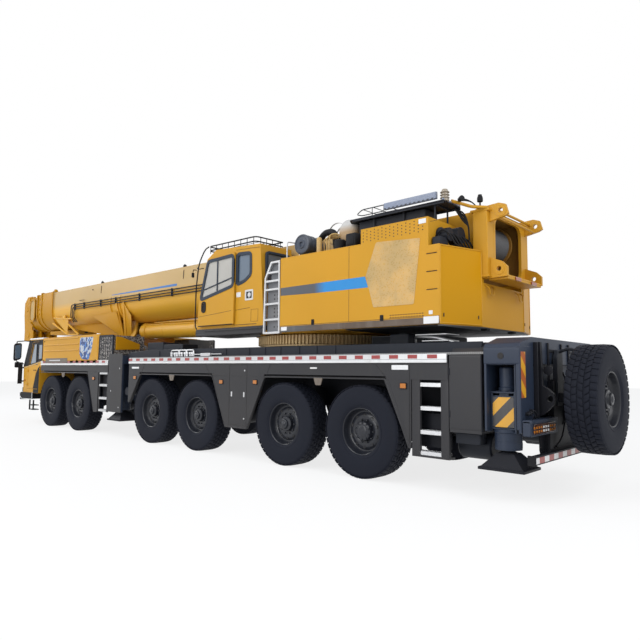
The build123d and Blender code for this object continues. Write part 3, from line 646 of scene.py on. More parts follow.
brackets, lamps, bezels = [], [], []
for x in (0.825, 4.955, 10.095):
    brackets += [plate(rounded([(x - 0.1, 1.485), (x + 0.1, 1.485), (x + 0.055, 1.36), (x - 0.055, 1.36)],
            0.02), 1.485, 1.504, 0.004), turned([(1.503, 0.003), (1.503, 0.014), (1.51, 0.012),
            (1.512, 0.002)], (x, 0, 1.42), ACROSS, 12)]
for x, z in ((3.29, 1.365), (2.33, 1.38), (-0.8, 1.39), (8.36, 1.35), (6.4, 1.4)):
    bezels.append(plate(corners(x - 0.06, z - 0.045, x + 0.06, z + 0.045, 0.015), side_face, 1.509, 0.003))
    lamps.append(plate(corners(x - 0.048, z - 0.033, x + 0.048, z + 0.033, 0.012), 1.507, 1.519, 0.004))
plates = [plate(corners(x0, z0, x1, z1, 0.01), 1.4995, 1.503, 0.001)
    for x0, x1, z0, z1 in ((-0.88, -0.6, 1.615, 1.68), (6.25, 6.55, 1.6, 1.64), (0.85, 1.0, 1.62, 1.645))]
bracket_brown = finish("bracket_brown", (0.13, 0.105, 0.085), 0.5, 0.3, 0.3)
carrier_pair("flap_brackets", brackets, bracket_brown)
carrier_pair("side_lamp_bezels", bezels, trim)
carrier_pair("side_lamps", lamps, amber)
carrier_pair("blank_plates", plates, white_paint)

door_parts = [plate(corners(x - 0.018, z - 0.045, x + 0.018, z + 0.045, 0.01), 1.499, 1.506, 0.002)
    for x, z in ((2.98, 1.15), (2.63, 1.15))]
door_parts += [turned([(1.494, 0.003), (1.494, 0.016), (1.506, 0.014), (1.509, 0.01), (1.509, 0.002)],
        (x, 0, z), ACROSS, 14) for x, z in ((2.62, 1.58), (2.62, 0.72), (7.48, 1.07), (7.1, 1.6),
        (7.1, 0.7))]
carrier_pair("locker_latches", door_parts, aluminium)

# ---- Deck --------------------------------------------------------------
# Chequered walkway plates over the carrier frame, with valve blocks, pipes,
# tie-downs and hose runs between the slewing ring and the engine hood.
deck_grey = finish("deck_grey", (0.16, 0.165, 0.175), 0.55, 0.35, 0.4)
coat_nodes(deck_grey, "deck_plates")


def chequer(tree, base):
    """Raised bars of a walkway plate: stripes at two slants that trade places by squares."""
    x, y = axis_value(tree, 0), axis_value(tree, 1)
    wave = [maths(tree, "SINE", maths(tree, "MULTIPLY", maths(tree, sign, x, y), 105.0))
        for sign in ("ADD", "SUBTRACT")]
    bars = span(tree, maths(tree, "MULTIPLY", wave[0], wave[1]), 0.45, 0.75)
    raised = tree.nodes["raised"]
    tree.links.new(bars, raised.inputs["Height"])
    return blend(tree, bars, tuple(v * 0.85 for v in base), tuple(min(1, v * 1.5) for v in base))


def scattered(shell, spots):
    """The same shell at each of many spots, unturned."""
    return copies(shell, np.tile(np.eye(3), (len(spots), 1, 1)), spots)


pattern(deck_grey, chequer)
deck = []
for x0, x1, y0, y1, z0, z1 in ((5.15, 5.75, 0.86, 1.22, 1.852, 2.02), (4.55, 4.95, 0.92, 1.3, 1.852, 1.97),
        (6.66, 6.98, 0.7, 1.33, 1.852, 1.98), (3.75, 4.25, 1.02, 1.33, 1.852, 1.95),
        (6.05, 6.5, -1.33, -0.8, 1.852, 2.06), (4.2, 5.3, -1.33, -0.9, 1.852, 2.02)):
    deck += [block((x0, y0, z0), (x1, y1, z1), 0.012),
        block((x0 + 0.04, y0 + 0.04, z1 - 0.004), (x1 - 0.04, y1 - 0.04, z1 + 0.014), 0.006)]
    for x in (x0 + 0.08, x1 - 0.08):
        for y in (y0 + 0.07, y1 - 0.07):
            deck.append(turned(disc(0, 0.012, 0.016, 0.003, 0.002), (x, y, z1 + 0.012), UP, 6))
deck += [block((x0, y0, 1.852), (x1, y1, z1), 0.012)
    for x0, x1, y0, y1, z1 in ((5.95, 6.6, 0.66, 1.1, 2.2), (5.16, 5.9, 0.7, 1.12, 2.14),
        (-0.663, 0.423, -0.623, 0.623, 2.168), (-0.62, -0.28, 0.66, 1.1, 2.15),
        (-1.35, -0.66, 0.66, 1.02, 2.02))]
for side in (1, -1):
    coaming = [(-1.935, 1.853), (-1.935, 1.989), (6.05, 2.015), (6.84, 1.965), (7.03, 1.9), (7.03, 1.853)]
    deck.append(plate(coaming, side * 1.342, side * 1.388, 0.005))
    deck += [block((x, side * 1.38, 1.86), (x + 0.035, side * 1.4, 1.995), 0.003)
        for x in (0.55, 0.95, 1.35, 1.8, 2.2, 2.62, 3.3, 5.6)]
piece("deck_boxes", deck, cast_dark, "carrier")
fittings = []
for n in range(9):
    x = 4.34 + n * 0.092
    fittings.append(turned([(0, 0.003), (0, 0.024), (0.04, 0.024), (0.045, 0.034), (0.085, 0.034),
            (0.088, 0.003)], (x, 1.425 - 0.015 * (n % 2), 1.858), UP, 8))
fittings += [pipe([(x0, 1.43, 1.86), (x0 + 0.02, 1.43, 1.985), (x1 - 0.02, 1.42, 1.985), (x1, 1.42, 1.86)],
        0.04, 0.014) for x0, x1 in ((4.28, 4.6), (4.52, 4.86), (4.78, 5.12))]
fittings += [tube([(x, 1.44, 1.892) for x in (3.38, 3.8, 4.28)], 0.012, 8),
    block((3.72, 1.41, 1.852), (4.02, 1.47, 1.915), 0.006),
    block((-1.2, 0.62, 2.125), (-0.66, 0.98, 2.145), 0.005),
    block((-1.24, 0.7, 2.03), (-0.8, 1.02, 2.05), 0.005),
    pipe([(-0.62, 0.9, 2.0), (-0.62, 0.92, 2.11), (-1.0, 0.99, 2.09), (-1.32, 0.98, 2.02)], 0.05, 0.022,
        10)]
piece("deck_fittings", fittings, aluminium, "carrier")
hoses = []
for n in range(5):
    y = 0.55 + 0.055 * n
    hoses.append(pipe([(3.35, y, 1.875), (4.4, y - 0.03, 1.88), (5.4, y + 0.04, 1.895 + 0.01 * n),
            (6.6, y, 1.875), (7.55, y, 1.78), (8.1, y, 1.775)], 0.3, 0.019))
piece("deck_hoses", hoses, trim, "carrier")
ring_bolts = turned([(0, 0.003), (0, 0.018), (0.02, 0.018), (0.024, 0.012), (0.024, 0.002)], (0, 0, 0), UP,
    6)
spots = np.array([(1.95 + 1.317 * math.cos(a), 1.317 * math.sin(a), 1.85)
        for a in np.linspace(0, 2 * math.pi, 60, endpoint=False)])
piece("deck_bolts", scattered(ring_bolts, spots), aluminium, "carrier")

# ---- Slewing ring and pedestal -----------------------------------------
# The outer race is bolted to a faceted pedestal, and the slewing pinions
# run round its teeth, which are bare bronze-coloured steel.
bronze = finish("ring_steel", (0.45, 0.32, 0.16), 0.5, 0.25, 0.35, (0.22, 0.16, 0.1), metal=0.2, shine=0.3)
coat_nodes(bronze, "slew_ring")
TEETH = 124
ring_low, ring_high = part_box("slew_ring")
ring_centre = np.array([(ring_low[0] + ring_high[0]) / 2 - X0, 0, 0])
ring_radius = (ring_high[0] - ring_low[0]) / 2


def gear(teeth, root, tip, z0, z1, bore):
    """Toothed ring: the radius steps from root to tip and back, four points to a tooth,
    carried from z0 to z1, with a plain bore on the same grid."""
    pitch = 2 * np.pi / teeth
    a = (np.arange(teeth)[:, None] * pitch + np.array([-0.32, -0.17, 0.17, 0.32]) * pitch).ravel()
    r = np.tile([root, tip, tip, root], teeth)
    rings = [(r - 0.006, z0), (r, z0 + 0.006), (r, z1 - 0.006), (r - 0.006, z1),
        (np.full_like(r, bore), z1), (np.full_like(r, bore), z0)]
    points = np.vstack([np.stack([radius * np.cos(a), radius * np.sin(a), np.full_like(a, z)], 1)
            for radius, z in rings])
    return points + ring_centre, faces_of(len(rings), len(a), True)


piece("slewing_teeth", [gear(TEETH, ring_radius - 0.032, ring_radius, ring_low[2], ring_high[2] - 0.012,
        1.1), turned(disc(ring_low[2] - 0.03, ring_low[2] - 0.002, 1.292, 1.11), ring_centre, UP, 96,
        True)], bronze, "carrier", "slew_ring", slot="ring_steel")

# ---- Side ladders and lockers ------------------------------------------
# Charcoal posts with pressed aluminium treads, punched for grip, ahead of
# the locker behind the last axle and beside the front outrigger.


def tread_step(x0, x1, y0, y1, z):
    """Pressed tread: a folded channel, its open profile carried across, with punched studs."""
    profile = [(y0, z), (y1, z), (y1, z - 0.052), (y1 - 0.006, z - 0.052), (y1 - 0.006, z - 0.006),
        (y0, z - 0.006)]
    shells = [plate(profile, x0, x1, 0.0015, "x")]
    dot = turned([(0, 0.002), (0, 0.011), (0.004, 0.008), (0.004, 0.002)], (0, 0, 0), UP, 8)
    spots = [(x, y, z) for x in np.arange(x0 + 0.04, x1 - 0.02, 0.06)
        for y in np.linspace(min(y0, y1) + 0.03, max(y0, y1) - 0.03, 3)]
    shells.append(scattered(dot, spots))
    return joined(shells)


steps = [tread_step(-1.468, -0.972, 1.345, 1.482, z + 0.04) for z in (0.48, 0.76, 1.08, 1.4)]
steps += [tread_step(7.69, 8.066, 1.385, 1.496, z + 0.038) for z in (0.58, 0.87, 1.18, 1.47)]
carrier_pair("ladder_treads", steps, aluminium, slot="ladder_aluminium")
posts = [plate(corners(x0, 1.44, x1, 1.494, 0.012), 0.462, 1.7, 0.003, "z")
    for x0, x1 in ((-1.51, -1.385), (-1.065, -0.93))]
posts.append(block((-1.51, 1.34, 0.44), (-0.93, 1.49, 0.47), 0.004))
carrier_pair("ladder_posts", posts, charcoal)
locker_side = rounded([(1.05, 0.83), (1.493, 0.83), (1.505, 0.86), (1.505, 1.8), (1.35, 1.94),
        (1.05, 1.965)], 0.02)
carrier_pair("rear_lockers", plate(locker_side, -1.975, -1.52, 0.006, "x"), charcoal)
locker_trim = [block((-1.99, 1.06, 1.925), (-1.505, 1.36, 1.975), 0.01),
    block((-1.985, 1.49, 0.84), (-1.972, 1.509, 1.8), 0.003)]
locker_trim += [block((-1.535, 1.5, z), (-1.515, 1.512, z + 0.09), 0.004) for z in (1.0, 1.55)]
carrier_pair("locker_hinges", locker_trim, chassis)
under = []
for side in (1, -1):
    under += [turned([(-0.24, 0.02), (-0.24, 0.16), (-0.22, 0.18), (0.22, 0.18), (0.24, 0.16),
            (0.24, 0.02)], (-1.72, side * 1.05, 0.62), AHEAD, 28),
        turned([(-0.2, 0.02), (-0.2, 0.12), (-0.18, 0.14), (0.18, 0.14), (0.2, 0.12), (0.2, 0.02)],
            (-1.72, side * 0.7, 0.66), AHEAD, 28),
        block((-1.9, side * 1.22, 0.66), (-1.55, side * 1.4, 0.8), 0.01)]
    under += [turned(disc(-0.3, 0.3, 0.045, 0.02), (x, side * 1.2, 1.3), UP, 16) for x in (6.78, 6.88)]
    under += [turned(disc(-0.12, 0.12, 0.09, 0.02), (6.82, side * 1.33, 1.08), ACROSS, 20),
        pipe([(6.75, side * 1.34, 1.6), (6.8, side * 1.4, 1.4), (6.9, side * 1.36, 1.2),
            (6.83, side * 1.38, 0.8)], 0.1, 0.016, 10)]
piece("air_tanks", under, cast_dark, "carrier")

# ---- Tail of the carrier -----------------------------------------------
# Rear outrigger box with rounded shoulders, striped warning boards, lamp
# boxes, a bumper bar with reflective tape, and the carrier of the spare.
slate = finish("outrigger_slate", (0.021, 0.031, 0.056), 0.42, 0.14, 0.25, (0.045, 0.05, 0.06), shine=0.3)
lamp_clear = finish("lamp_clear", (0.8, 0.82, 0.84), 0.12, 0.1, 0.05, coat=0.5)
coat_nodes(slate, "outrigger_boxes", *[n for n in nodes if n.startswith("outrigger_beam")])


def diagonal(pitch, first, second, axes, slant):
    """Warning stripes: the sum of two coordinates, folded by the pitch, picks the colour."""
    def make(tree, base):
        a, b = axis_value(tree, axes[0]), axis_value(tree, axes[1])
        total = maths(tree, "ADD", a, maths(tree, "MULTIPLY", b, slant))
        folded = maths(tree, "FRACT", maths(tree, "DIVIDE", maths(tree, "ADD", total, 100.0), pitch))
        return blend(tree, maths(tree, "GREATER_THAN", folded, 0.5), first, second)
    return make


HAZARD_YELLOW, HAZARD_DARK, HAZARD_RED = (0.72, 0.36, 0.02), (0.035, 0.033, 0.036), (0.42, 0.1, 0.02)
hazard_side = pattern(finish("hazard_black_yellow", HAZARD_YELLOW, 0.35, 0.15, 0.2),
    diagonal(0.315, HAZARD_YELLOW, HAZARD_DARK, (0, 2), 1.0))
hazard_rear = pattern(finish("hazard_red_yellow", HAZARD_YELLOW, 0.35, 0.12, 0.2),
    diagonal(0.28, HAZARD_YELLOW, HAZARD_RED, (1, 2), -1.0))


def red_and_white(tree, base):
    """Lengths of red and of white tape by turns across the crane."""
    place = maths(tree, "MULTIPLY", maths(tree, "ADD", axis_value(tree, 1), 10.0), 3.3)
    is_white = maths(tree, "GREATER_THAN", maths(tree, "FRACT", place), 0.52)
    return blend(tree, is_white, (0.3, 0.04, 0.03), (0.72, 0.72, 0.73))


tape = pattern(finish("reflective_tape", (0.7, 0.7, 0.7), 0.3, 0.2, 0.2), red_and_white)

rear_face = -2.4805
carrier_pair("warning_strips", block((rear_face - 0.006, 1.345, 1.285), (rear_face, 1.475, 1.845), 0.002),
    hazard_rear)

carrier_pair("rear_box_frames", [block((-2.482, 1.1, 0.9), (-2.425, 1.503, 1.7), 0.01),
        block((-2.045, 1.1, 0.86), (-2.015, 1.503, 1.7), 0.01),
        plate(rounded([(1.4, 1.69), (1.503, 1.69), (1.507, 1.885), (1.465, 1.948), (1.38, 1.978),
        (1.38, 1.9)], 0.02), -2.484, -2.01, 0.008, "x"),
        block((rear_face - 0.004, 1.1, 0.86), (rear_face + 0.03, 1.5, 1.92), 0.008)], slate)
carrier_pair("rear_box_holes", [turned([(1.5, 0.004), (1.5, 0.04), (1.511, 0.04), (1.511, 0.03),
        (1.503, 0.028), (1.503, 0.002)], (-2.24, 0, 1.795), ACROSS, 24),
        turned(disc(1.504, 1.5085, 0.032, 0.002), (-2.24, 0, 1.795), ACROSS, 24)], hollow)
carrier_pair("rear_ladder_back", block((-1.45, 1.3, 0.56), (-0.94, 1.31, 1.02), 0.002), chassis)
# Painted shade: a near-black sheet at the back of each rear outrigger box's opening, for the shade inside
# the box.
carrier_pair("rear_box_backs", block((-2.4, 1.02, 1.3), (-2.05, 1.04, 1.68), 0.002), hollow)

ribs = [block((rear_face - 0.055, 1.065, 1.02), (rear_face, 1.09, 1.975), 0.004),
    block((rear_face - 0.02, 0.6, 0.95), (rear_face, 0.64, 1.985), 0.004),
    block((rear_face - 0.02, 0.12, 0.95), (rear_face, 0.16, 1.985), 0.004),
    block((rear_face - 0.012, 0.2, 1.86), (rear_face, 0.58, 1.9), 0.004),
    pipe([(rear_face - 0.03, 0.16, 1.6), (rear_face - 0.08, 0.14, 1.4), (rear_face - 0.08, 0.2, 1.05),
        (rear_face - 0.06, 0.34, 0.72), (rear_face - 0.06, 0.6, 0.62)], 0.1, 0.011, 10)]
for y, z in ((1.3, 1.1), (1.24, 1.12), (1.36, 1.09)):
    ribs += [turned([(0, 0.003), (0, 0.022), (-0.05, 0.022), (-0.06, 0.014), (-0.075, 0.014),
            (-0.075, 0.002)], (rear_face, y, z), AHEAD, 10),
        pipe([(rear_face - 0.07, y, z), (rear_face - 0.09, y - 0.03, z - 0.04),
            (rear_face - 0.03, y - 0.05, z - 0.14)], 0.03, 0.007, 6)]
carrier_pair("rear_ribs", ribs, chassis)

cells, ambers, lamp_x = [], [], -2.59
lamp_box = [block((lamp_x - 0.006, 0.635, 0.825), (-2.485, 1.485, 1.015), 0.012),
    block((lamp_x - 0.016, 0.635, 0.985), (-2.485, 1.485, 1.022), 0.006)]
lenses = block((lamp_x - 0.018, 0.72, 0.853), (lamp_x - 0.004, 1.41, 0.972), 0.006)
for y in np.arange(0.745, 1.4, 0.072):
    for z in (0.872, 0.918):
        (cells if 0.93 < y < 1.17 else ambers).append(block((lamp_x - 0.0205, y, z),
                (lamp_x - 0.016, y + 0.04, z + 0.026), 0.001))
carrier_pair("lamp_housings", lamp_box, slate)
smoked = finish("lens_smoked", (0.06, 0.022, 0.012), 0.2, 0.15, 0.1, coat=0.5)
carrier_pair("tail_lenses", lenses, smoked)
carrier_pair("turn_lenses", ambers, amber)
carrier_pair("lamp_reflectors", cells, lamp_clear)
piece("tail_skirt", [block((-2.495, -0.94, 0.6), (-2.468, 0.94, 0.96), 0.004),
        plate(rounded([(-0.94, 0.61), (0.94, 0.61), (0.9, 0.5), (-0.9, 0.5)], 0.02), -2.49, -2.47, 0.003,
        "x")], chassis, "carrier")
piece("bumper_tape", block((-2.6435, -1.47, 0.515), (-2.639, 1.47, 0.585), 0.001), tape, "carrier")
carrier_pair("bumper_caps", plate(corners(-2.645, 1.465, -2.545, 1.495, 0.01), 0.49, 0.61, 0.004, "z"),
    trim)
hitch = [turned([(0, 0.01), (0, 0.16), (-0.02, 0.16), (-0.03, 0.12), (-0.14, 0.11), (-0.16, 0.07),
        (-0.16, 0.005)], (-2.54, 0, 1.1), AHEAD, 32),
    plate(corners(-0.2, 0.92, 0.2, 1.28, 0.04), -2.56, -2.535, 0.004, "x")]
spare_arm = [plate(rounded([(0.3, 1.16), (0.5, 1.16), (0.5, 1.8), (0.42, 1.9), (0.3, 1.9)], 0.04), -2.56,
        -2.5, 0.006, "x"), pipe([(-2.52, 0.4, 1.86), (-2.7, 0.4, 1.92), (-2.8, 0.4, 1.86)], 0.08, 0.022,
        10), turned([(0, 0.01), (0, 0.15), (-0.03, 0.15), (-0.05, 0.1), (-0.1, 0.1), (-0.1, 0.01)],
        (-2.8, 0.4, 1.265), AHEAD, 28)]
piece("tail_hitch", hitch + spare_arm, cast_dark, "carrier")
carrier_pair("tail_eyes", turned([(0.905, 0.003), (0.905, 0.055), (0.915, 0.06), (0.925, 0.06),
        (0.929, 0.05)], (-2.6, 0, 1.62), ACROSS, 20), chassis)

# ---- Outriggers --------------------------------------------------------
# Each box beam ends in an upright cylinder with a flanged guard, warning
# board and sleeve; its rod carries a pyramid-backed steel float.
polished = finish("rod_chrome", (0.7, 0.71, 0.73), 0.14, 0.08, 0.05, metal=1.0)
coat_nodes(chassis, *[n for n in nodes if n.startswith("outrigger_jack")])
for place, x in (("front", 7.31), ("rear", -2.21)):
    for side_name, side in (("left", 1), ("right", -1)):
        y = side * 1.25
        beam, jack = f"outrigger_beam_{place}_{side_name}", f"outrigger_jack_{place}_{side_name}"
        guard = [block((x - 0.175, side * 1.115, 1.332), (x + 0.175, side * 1.4, 1.352), 0.004),
            block((x - 0.165, side * 1.115, 0.885), (x + 0.165, side * 1.398, 0.905), 0.004),
            turned([(1.352, 0.02), (1.352, 0.11), (1.4, 0.11), (1.412, 0.098), (1.64, 0.098),
                (1.655, 0.085), (1.655, 0.01)], (x, y, 0), UP, 40),
            turned([(0.64, 0.09), (0.64, 0.158), (0.652, 0.167), (0.72, 0.167), (0.726, 0.16), (0.74, 0.16),
                (0.746, 0.167), (0.835, 0.167), (0.846, 0.178), (0.886, 0.178), (0.886, 0.09)], (x, y, 0),
                UP, 44)]
        guard += [turned(disc(0, 0.012, 0.012, 0.002),
                (x + 0.128 * math.cos(a), y + 0.128 * math.sin(a), 1.352), UP, 6)
            for a in np.linspace(0.3, 2 * math.pi + 0.3, 8, endpoint=False)]
        guard += [block((x + dx - 0.012, side * 1.37, 0.9), (x + dx + 0.012, side * 1.396, 1.335), 0.004)
            for dx in (-0.15, 0.15)]
        piece(beam + "_guard", guard, slate, beam)
        if place == "rear":
            piece(beam + "_board", block((x - 0.138, side * 1.384, 0.912),
                    (x + 0.138, side * 1.3925, 1.282), 0.002), hazard_side, beam)
        else:
            cover = corners(x - 0.318, 0.58, x + 0.318, 1.945, 0.02)
            piece(beam + "_cover", [plate(cover, side * 1.45, side * 1.503, 0.006),
                    block((x - 0.318, side * 1.3, 1.912), (x + 0.318, side * 1.46, 1.942), 0.006)],
                charcoal, beam)
        pad = [turned([(0.588, 0.02), (0.588, 0.105), (0.6, 0.1), (0.612, 0.074), (0.64, 0.074),
                (0.64, 0.01)], (x, y, 0), UP, 32), plate(corners(x - 0.302, y - 0.252, x + 0.302, y + 0.252,
                0.02), 0.383, 0.418, 0.004, "z")]
        pad += [tube([(x + dx * out, y + dy * out, z)
                for out, z in ((0.105, 0.575), (reach / 2 + 0.05, 0.5), (reach, 0.428))], 0.008, 6)
            for dx, dy, reach in ((1, 0, 0.26), (0, 1, 0.21), (-1, 0, 0.26), (0, -1, 0.21))]
        piece(jack + "_float", pad, chassis, jack)
        piece(jack + "_rod_collar", turned(disc(0.6, 0.646, 0.066, 0.02, 0.01), (x, y, 0), UP, 32),
            polished, jack)

# ---- Machinery housings ------------------------------------------------
# Folded steel doors and panels on the turntable, with a grey-to-blue side
# stripe, punched air grilles, a bleached anti-slip sheet and black latches.
beige = finish("sun_bleached_sheet", (0.42, 0.265, 0.07), 0.6, 0.3, 0.5, (0.34, 0.27, 0.14), shine=0.3)
wall = 1.4885


def side_plate(points, near=wall, far=1.4925, edge=0.001, radius=0.0):
    """A flat shape on the housing's side: outline from axle 6, corners rounded if asked."""
    return plate(rounded(points, radius) if radius else points, near, far, edge)


def turntable_pair(name, shells, material, **more):
    """The same pieces on the left and right of the turntable."""
    return piece(name, mirrored(shells), material, "superstructure", **more)


def stripe_colours(tree, base):
    """Charcoal behind the cab turning blue towards the tail along X."""
    return blend(tree, span(tree, axis_value(tree, 0), X0 + 0.93, X0 + 0.7), (0.06, 0.065, 0.08),
        (0.0005, 0.22, 0.57))


side_stripe = pattern(finish("side_stripe", (0.01, 0.23, 0.72), 0.34, 0.05, 0.2, (0.1, 0.18, 0.3),
        coat=0.3), stripe_colours)
turntable_pair("side_stripes", side_plate([(1.731, 2.866), (1.731, 3.0), (0.9, 3.004), (-0.11, 3.01),
        (-0.168, 2.84), (0.9, 2.846)], far=1.4915, edge=0.0005), side_stripe)


def stippled(tree, base):
    """Anti-slip coat: small round grains in the bleached paint, and paler blotches."""
    grains = node(tree, "ShaderNodeTexVoronoi")
    grains.inputs["Scale"].default_value = 34.0
    tree.links.new(node(tree, "ShaderNodeTexCoord").outputs["Object"], grains.inputs["Vector"])
    spots = span(tree, grains.outputs["Distance"], 0.15, 0.42)
    tree.links.new(spots, tree.nodes["raised"].inputs["Height"])
    blotch = span(tree, noise(tree, 3.2, 4.0), 0.38, 0.68)
    aged = blend(tree, blotch, tuple(v * 0.98 for v in base), (0.68, 0.37, 0.08))
    return blend(tree, maths(tree, "MULTIPLY", spots, 0.45), aged, (0.6, 0.44, 0.24))


pattern(beige, stippled)
sheet_outline = [(-0.315, 3.505), (-1.085, 3.455), (-0.975, 2.53), (-0.265, 2.53), (-0.125, 3.02)]
turntable_pair("bleached_sheets", side_plate(sheet_outline, 1.489, 1.4955, 0.003, 0.03), beige)

panel_gaps = []
for x0, z0, x1, z1 in ((0.205, 2.345, 0.205, 3.515), (0.205, 3.512, -0.03, 3.512),
        (1.731, 2.345, 0.205, 2.345), (0.205, 2.345, -1.385, 2.345)):
    wide, tall = (0, 0.003) if x0 != x1 else (0.003, 0)
    panel_gaps.append(block((min(x0, x1) - wide, 1.4895, min(z0, z1) - tall),
            (max(x0, x1) + wide, 1.4912, max(z0, z1) + tall), 0.0004))
turntable_pair("panel_gaps", panel_gaps, hollow)
turntable_pair("panel_edges", [tube([(1.728, 1.484, z) for z in (2.35, 3.0, 3.505)], 0.009, 8),
        tube([(x, 1.484, 3.511) for x in (1.73, 0.9, -0.02)], 0.009, 8),
        tube([(x, 1.484, 3.736) for x in (-0.03, -0.6, -1.21)], 0.008, 8),
        tube([(-1.383, 1.484, z) for z in (2.3, 2.8, 3.33)], 0.009, 8),
        tube([(-0.032, 1.484, z) for z in (3.52, 3.6, 3.736)], 0.008, 8)], yellow)

punch = turned(disc(wall, 1.4912, 0.0095, 0.002), (0, 0, 0), ACROSS, 8)
grille = [(-0.075 - 0.07 * i, 0, 3.545 + 0.046 * j + (0.023 if i % 2 else 0)) for i in range(16)
    for j in range(4 if i < 15 else 3)]
slots = [(-0.575 - 0.045 * i, 0, 2.36 + 0.035 * j) for i in range(13) for j in range(2)]
slot_shape = side_plate([(-0.012, -0.006), (0.014, -0.006), (0.008, 0.007), (-0.016, 0.007)], wall, 1.4912,
    0.0004)
turntable_pair("air_grilles", [scattered(punch, grille), scattered(slot_shape, slots)], hollow)
rungs = [block((-1.35, wall, z - 0.006), (-1.18, 1.4925, z + 0.005), 0.001) for z in (3.215, 2.965, 2.715)]
rungs += [block((-1.35, wall, 3.66), (-1.245, 1.4915, 3.665), 0.001)]
turntable_pair("hand_slots", rungs, hollow)
turntable_pair("hand_bars", [pipe([(-1.345, 1.486, z + 0.01), (-1.335, 1.499, z + 0.01),
        (-1.195, 1.499, z + 0.01), (-1.185, 1.486, z + 0.01)], 0.01, 0.0045, 6)
        for z in (3.215, 2.965, 2.715)], yellow)


def brown_fade(tree, base):
    """The strip under the doors goes from charcoal at the ladder to brown towards the tail."""
    return blend(tree, span(tree, axis_value(tree, 0), X0 + 1.35, X0 + 0.75), (0.06, 0.062, 0.068),
        (0.085, 0.055, 0.036))


lower_strip = pattern(finish("lower_strip", (0.06, 0.06, 0.065), 0.4, 0.25, 0.2), brown_fade)
turntable_pair("lower_strips", block((-1.382, 1.47, 2.238), (1.728, 1.4925, 2.335), 0.004), lower_strip)
latches = []
for x, z in ((0.96, 2.375), (-0.42, 2.365)):
    latches += [side_plate(corners(x - 0.03, z - 0.045, x + 0.03, z + 0.045), 1.489, 1.5, 0.003, 0.012),
        turned([(1.499, 0.003), (1.499, 0.018), (1.508, 0.016), (1.508, 0.002)], (x, 0, z), ACROSS, 14)]
turntable_pair("door_latches", latches, trim)
signs = [side_plate(corners(x0, z0, x1, z1), 1.49, 1.4945, 0.001, 0.008)
    for x0, x1, z0, z1 in ((-1.37, -1.13, 2.245, 2.345), (-1.275, -1.215, 2.372, 2.425),
        (1.56, 1.7, 2.262, 2.325), (-1.18, -1.06, 3.655, 3.722))]
turntable_pair("blank_signs", signs, white_paint)
piece("step_rail", pipe([(1.62, 1.45, 3.5), (1.62, 1.45, 3.8), (1.56, 1.2, 3.8), (1.56, 1.2, 3.52)], 0.04,
        0.012), aluminium, "superstructure")

# ---- Tail of the turntable ---------------------------------------------
# Counterweight box of thick plate with chamfered corners; the winch sits in
# the notch behind the boom foot, inside a frame of upright box columns.
tail_yellow = finish("tail_yellow", (0.57, 0.27, 0.003), 0.42, 0.1, 0.22, (0.44, 0.28, 0.02), shine=0.15)
lens_red = finish("lens_red", (0.3, 0.055, 0.02), 0.22, 0.25, 0.1, coat=0.5)
rope_steel = finish("rope_steel", (0.085, 0.088, 0.095), 0.5, 0.25, 0.4, (0.12, 0.11, 0.1), metal=0.5)
coat_nodes(tail_yellow, "tail_box")
coat_nodes(cast_dark, "winch_drum")
tail_edges = [tube([(-1.39, 1.49, z), (-1.5, 1.105, z), (-1.61, 0.72, z)], 0.01, 8) for z in (2.25, 3.318)]
tail_edges += [tube([(x, y, z) for z in (2.24, 2.8, 3.325)], 0.009, 8)
    for x, y in ((-1.61, 0.72), (-1.394, 1.484))]
turntable_pair("tail_edges", tail_edges, yellow)
tail_plugs = []
for y in (1.43, 0.79):
    x = -1.39 - 0.22 * (1.49 - y) / 0.77 - 0.004
    tail_plugs.append(block((x - 0.006, y - 0.008, 2.335), (x + 0.004, y + 0.008, 2.385), 0.002))
turntable_pair("tail_slots", tail_plugs, hollow)
# Painted reflection: a pale grey-blue plate under the tail, for the pale shine the underside shows from
# below.
underside_reflection = finish("underside_painted_reflection", (0.24, 0.26, 0.29), 0.5, 0.3, 0.3)
under_plate = [(-1.3, 1.4), (-1.4, 1.4), (-1.59, 0.7), (-1.59, -0.7), (-1.4, -1.4), (-1.3, -1.4)]
piece("tail_underside", plate(under_plate, 2.222, 2.234, 0.003, "z"), underside_reflection, "superstructure")
# A black sheet under the house: partly the frame's own black, partly painted shade for the underside of the
# turntable.
piece("tail_belly", block((-1.28, -1.4, 2.224), (0.35, 1.4, 2.2395), 0.003), chassis, "superstructure")
piece("tail_feet", [block((-1.575, y - 0.05, 2.195), (-1.475, y + 0.05, 2.236), 0.006)
        for y in (0.45, -0.45)], trim, "superstructure")
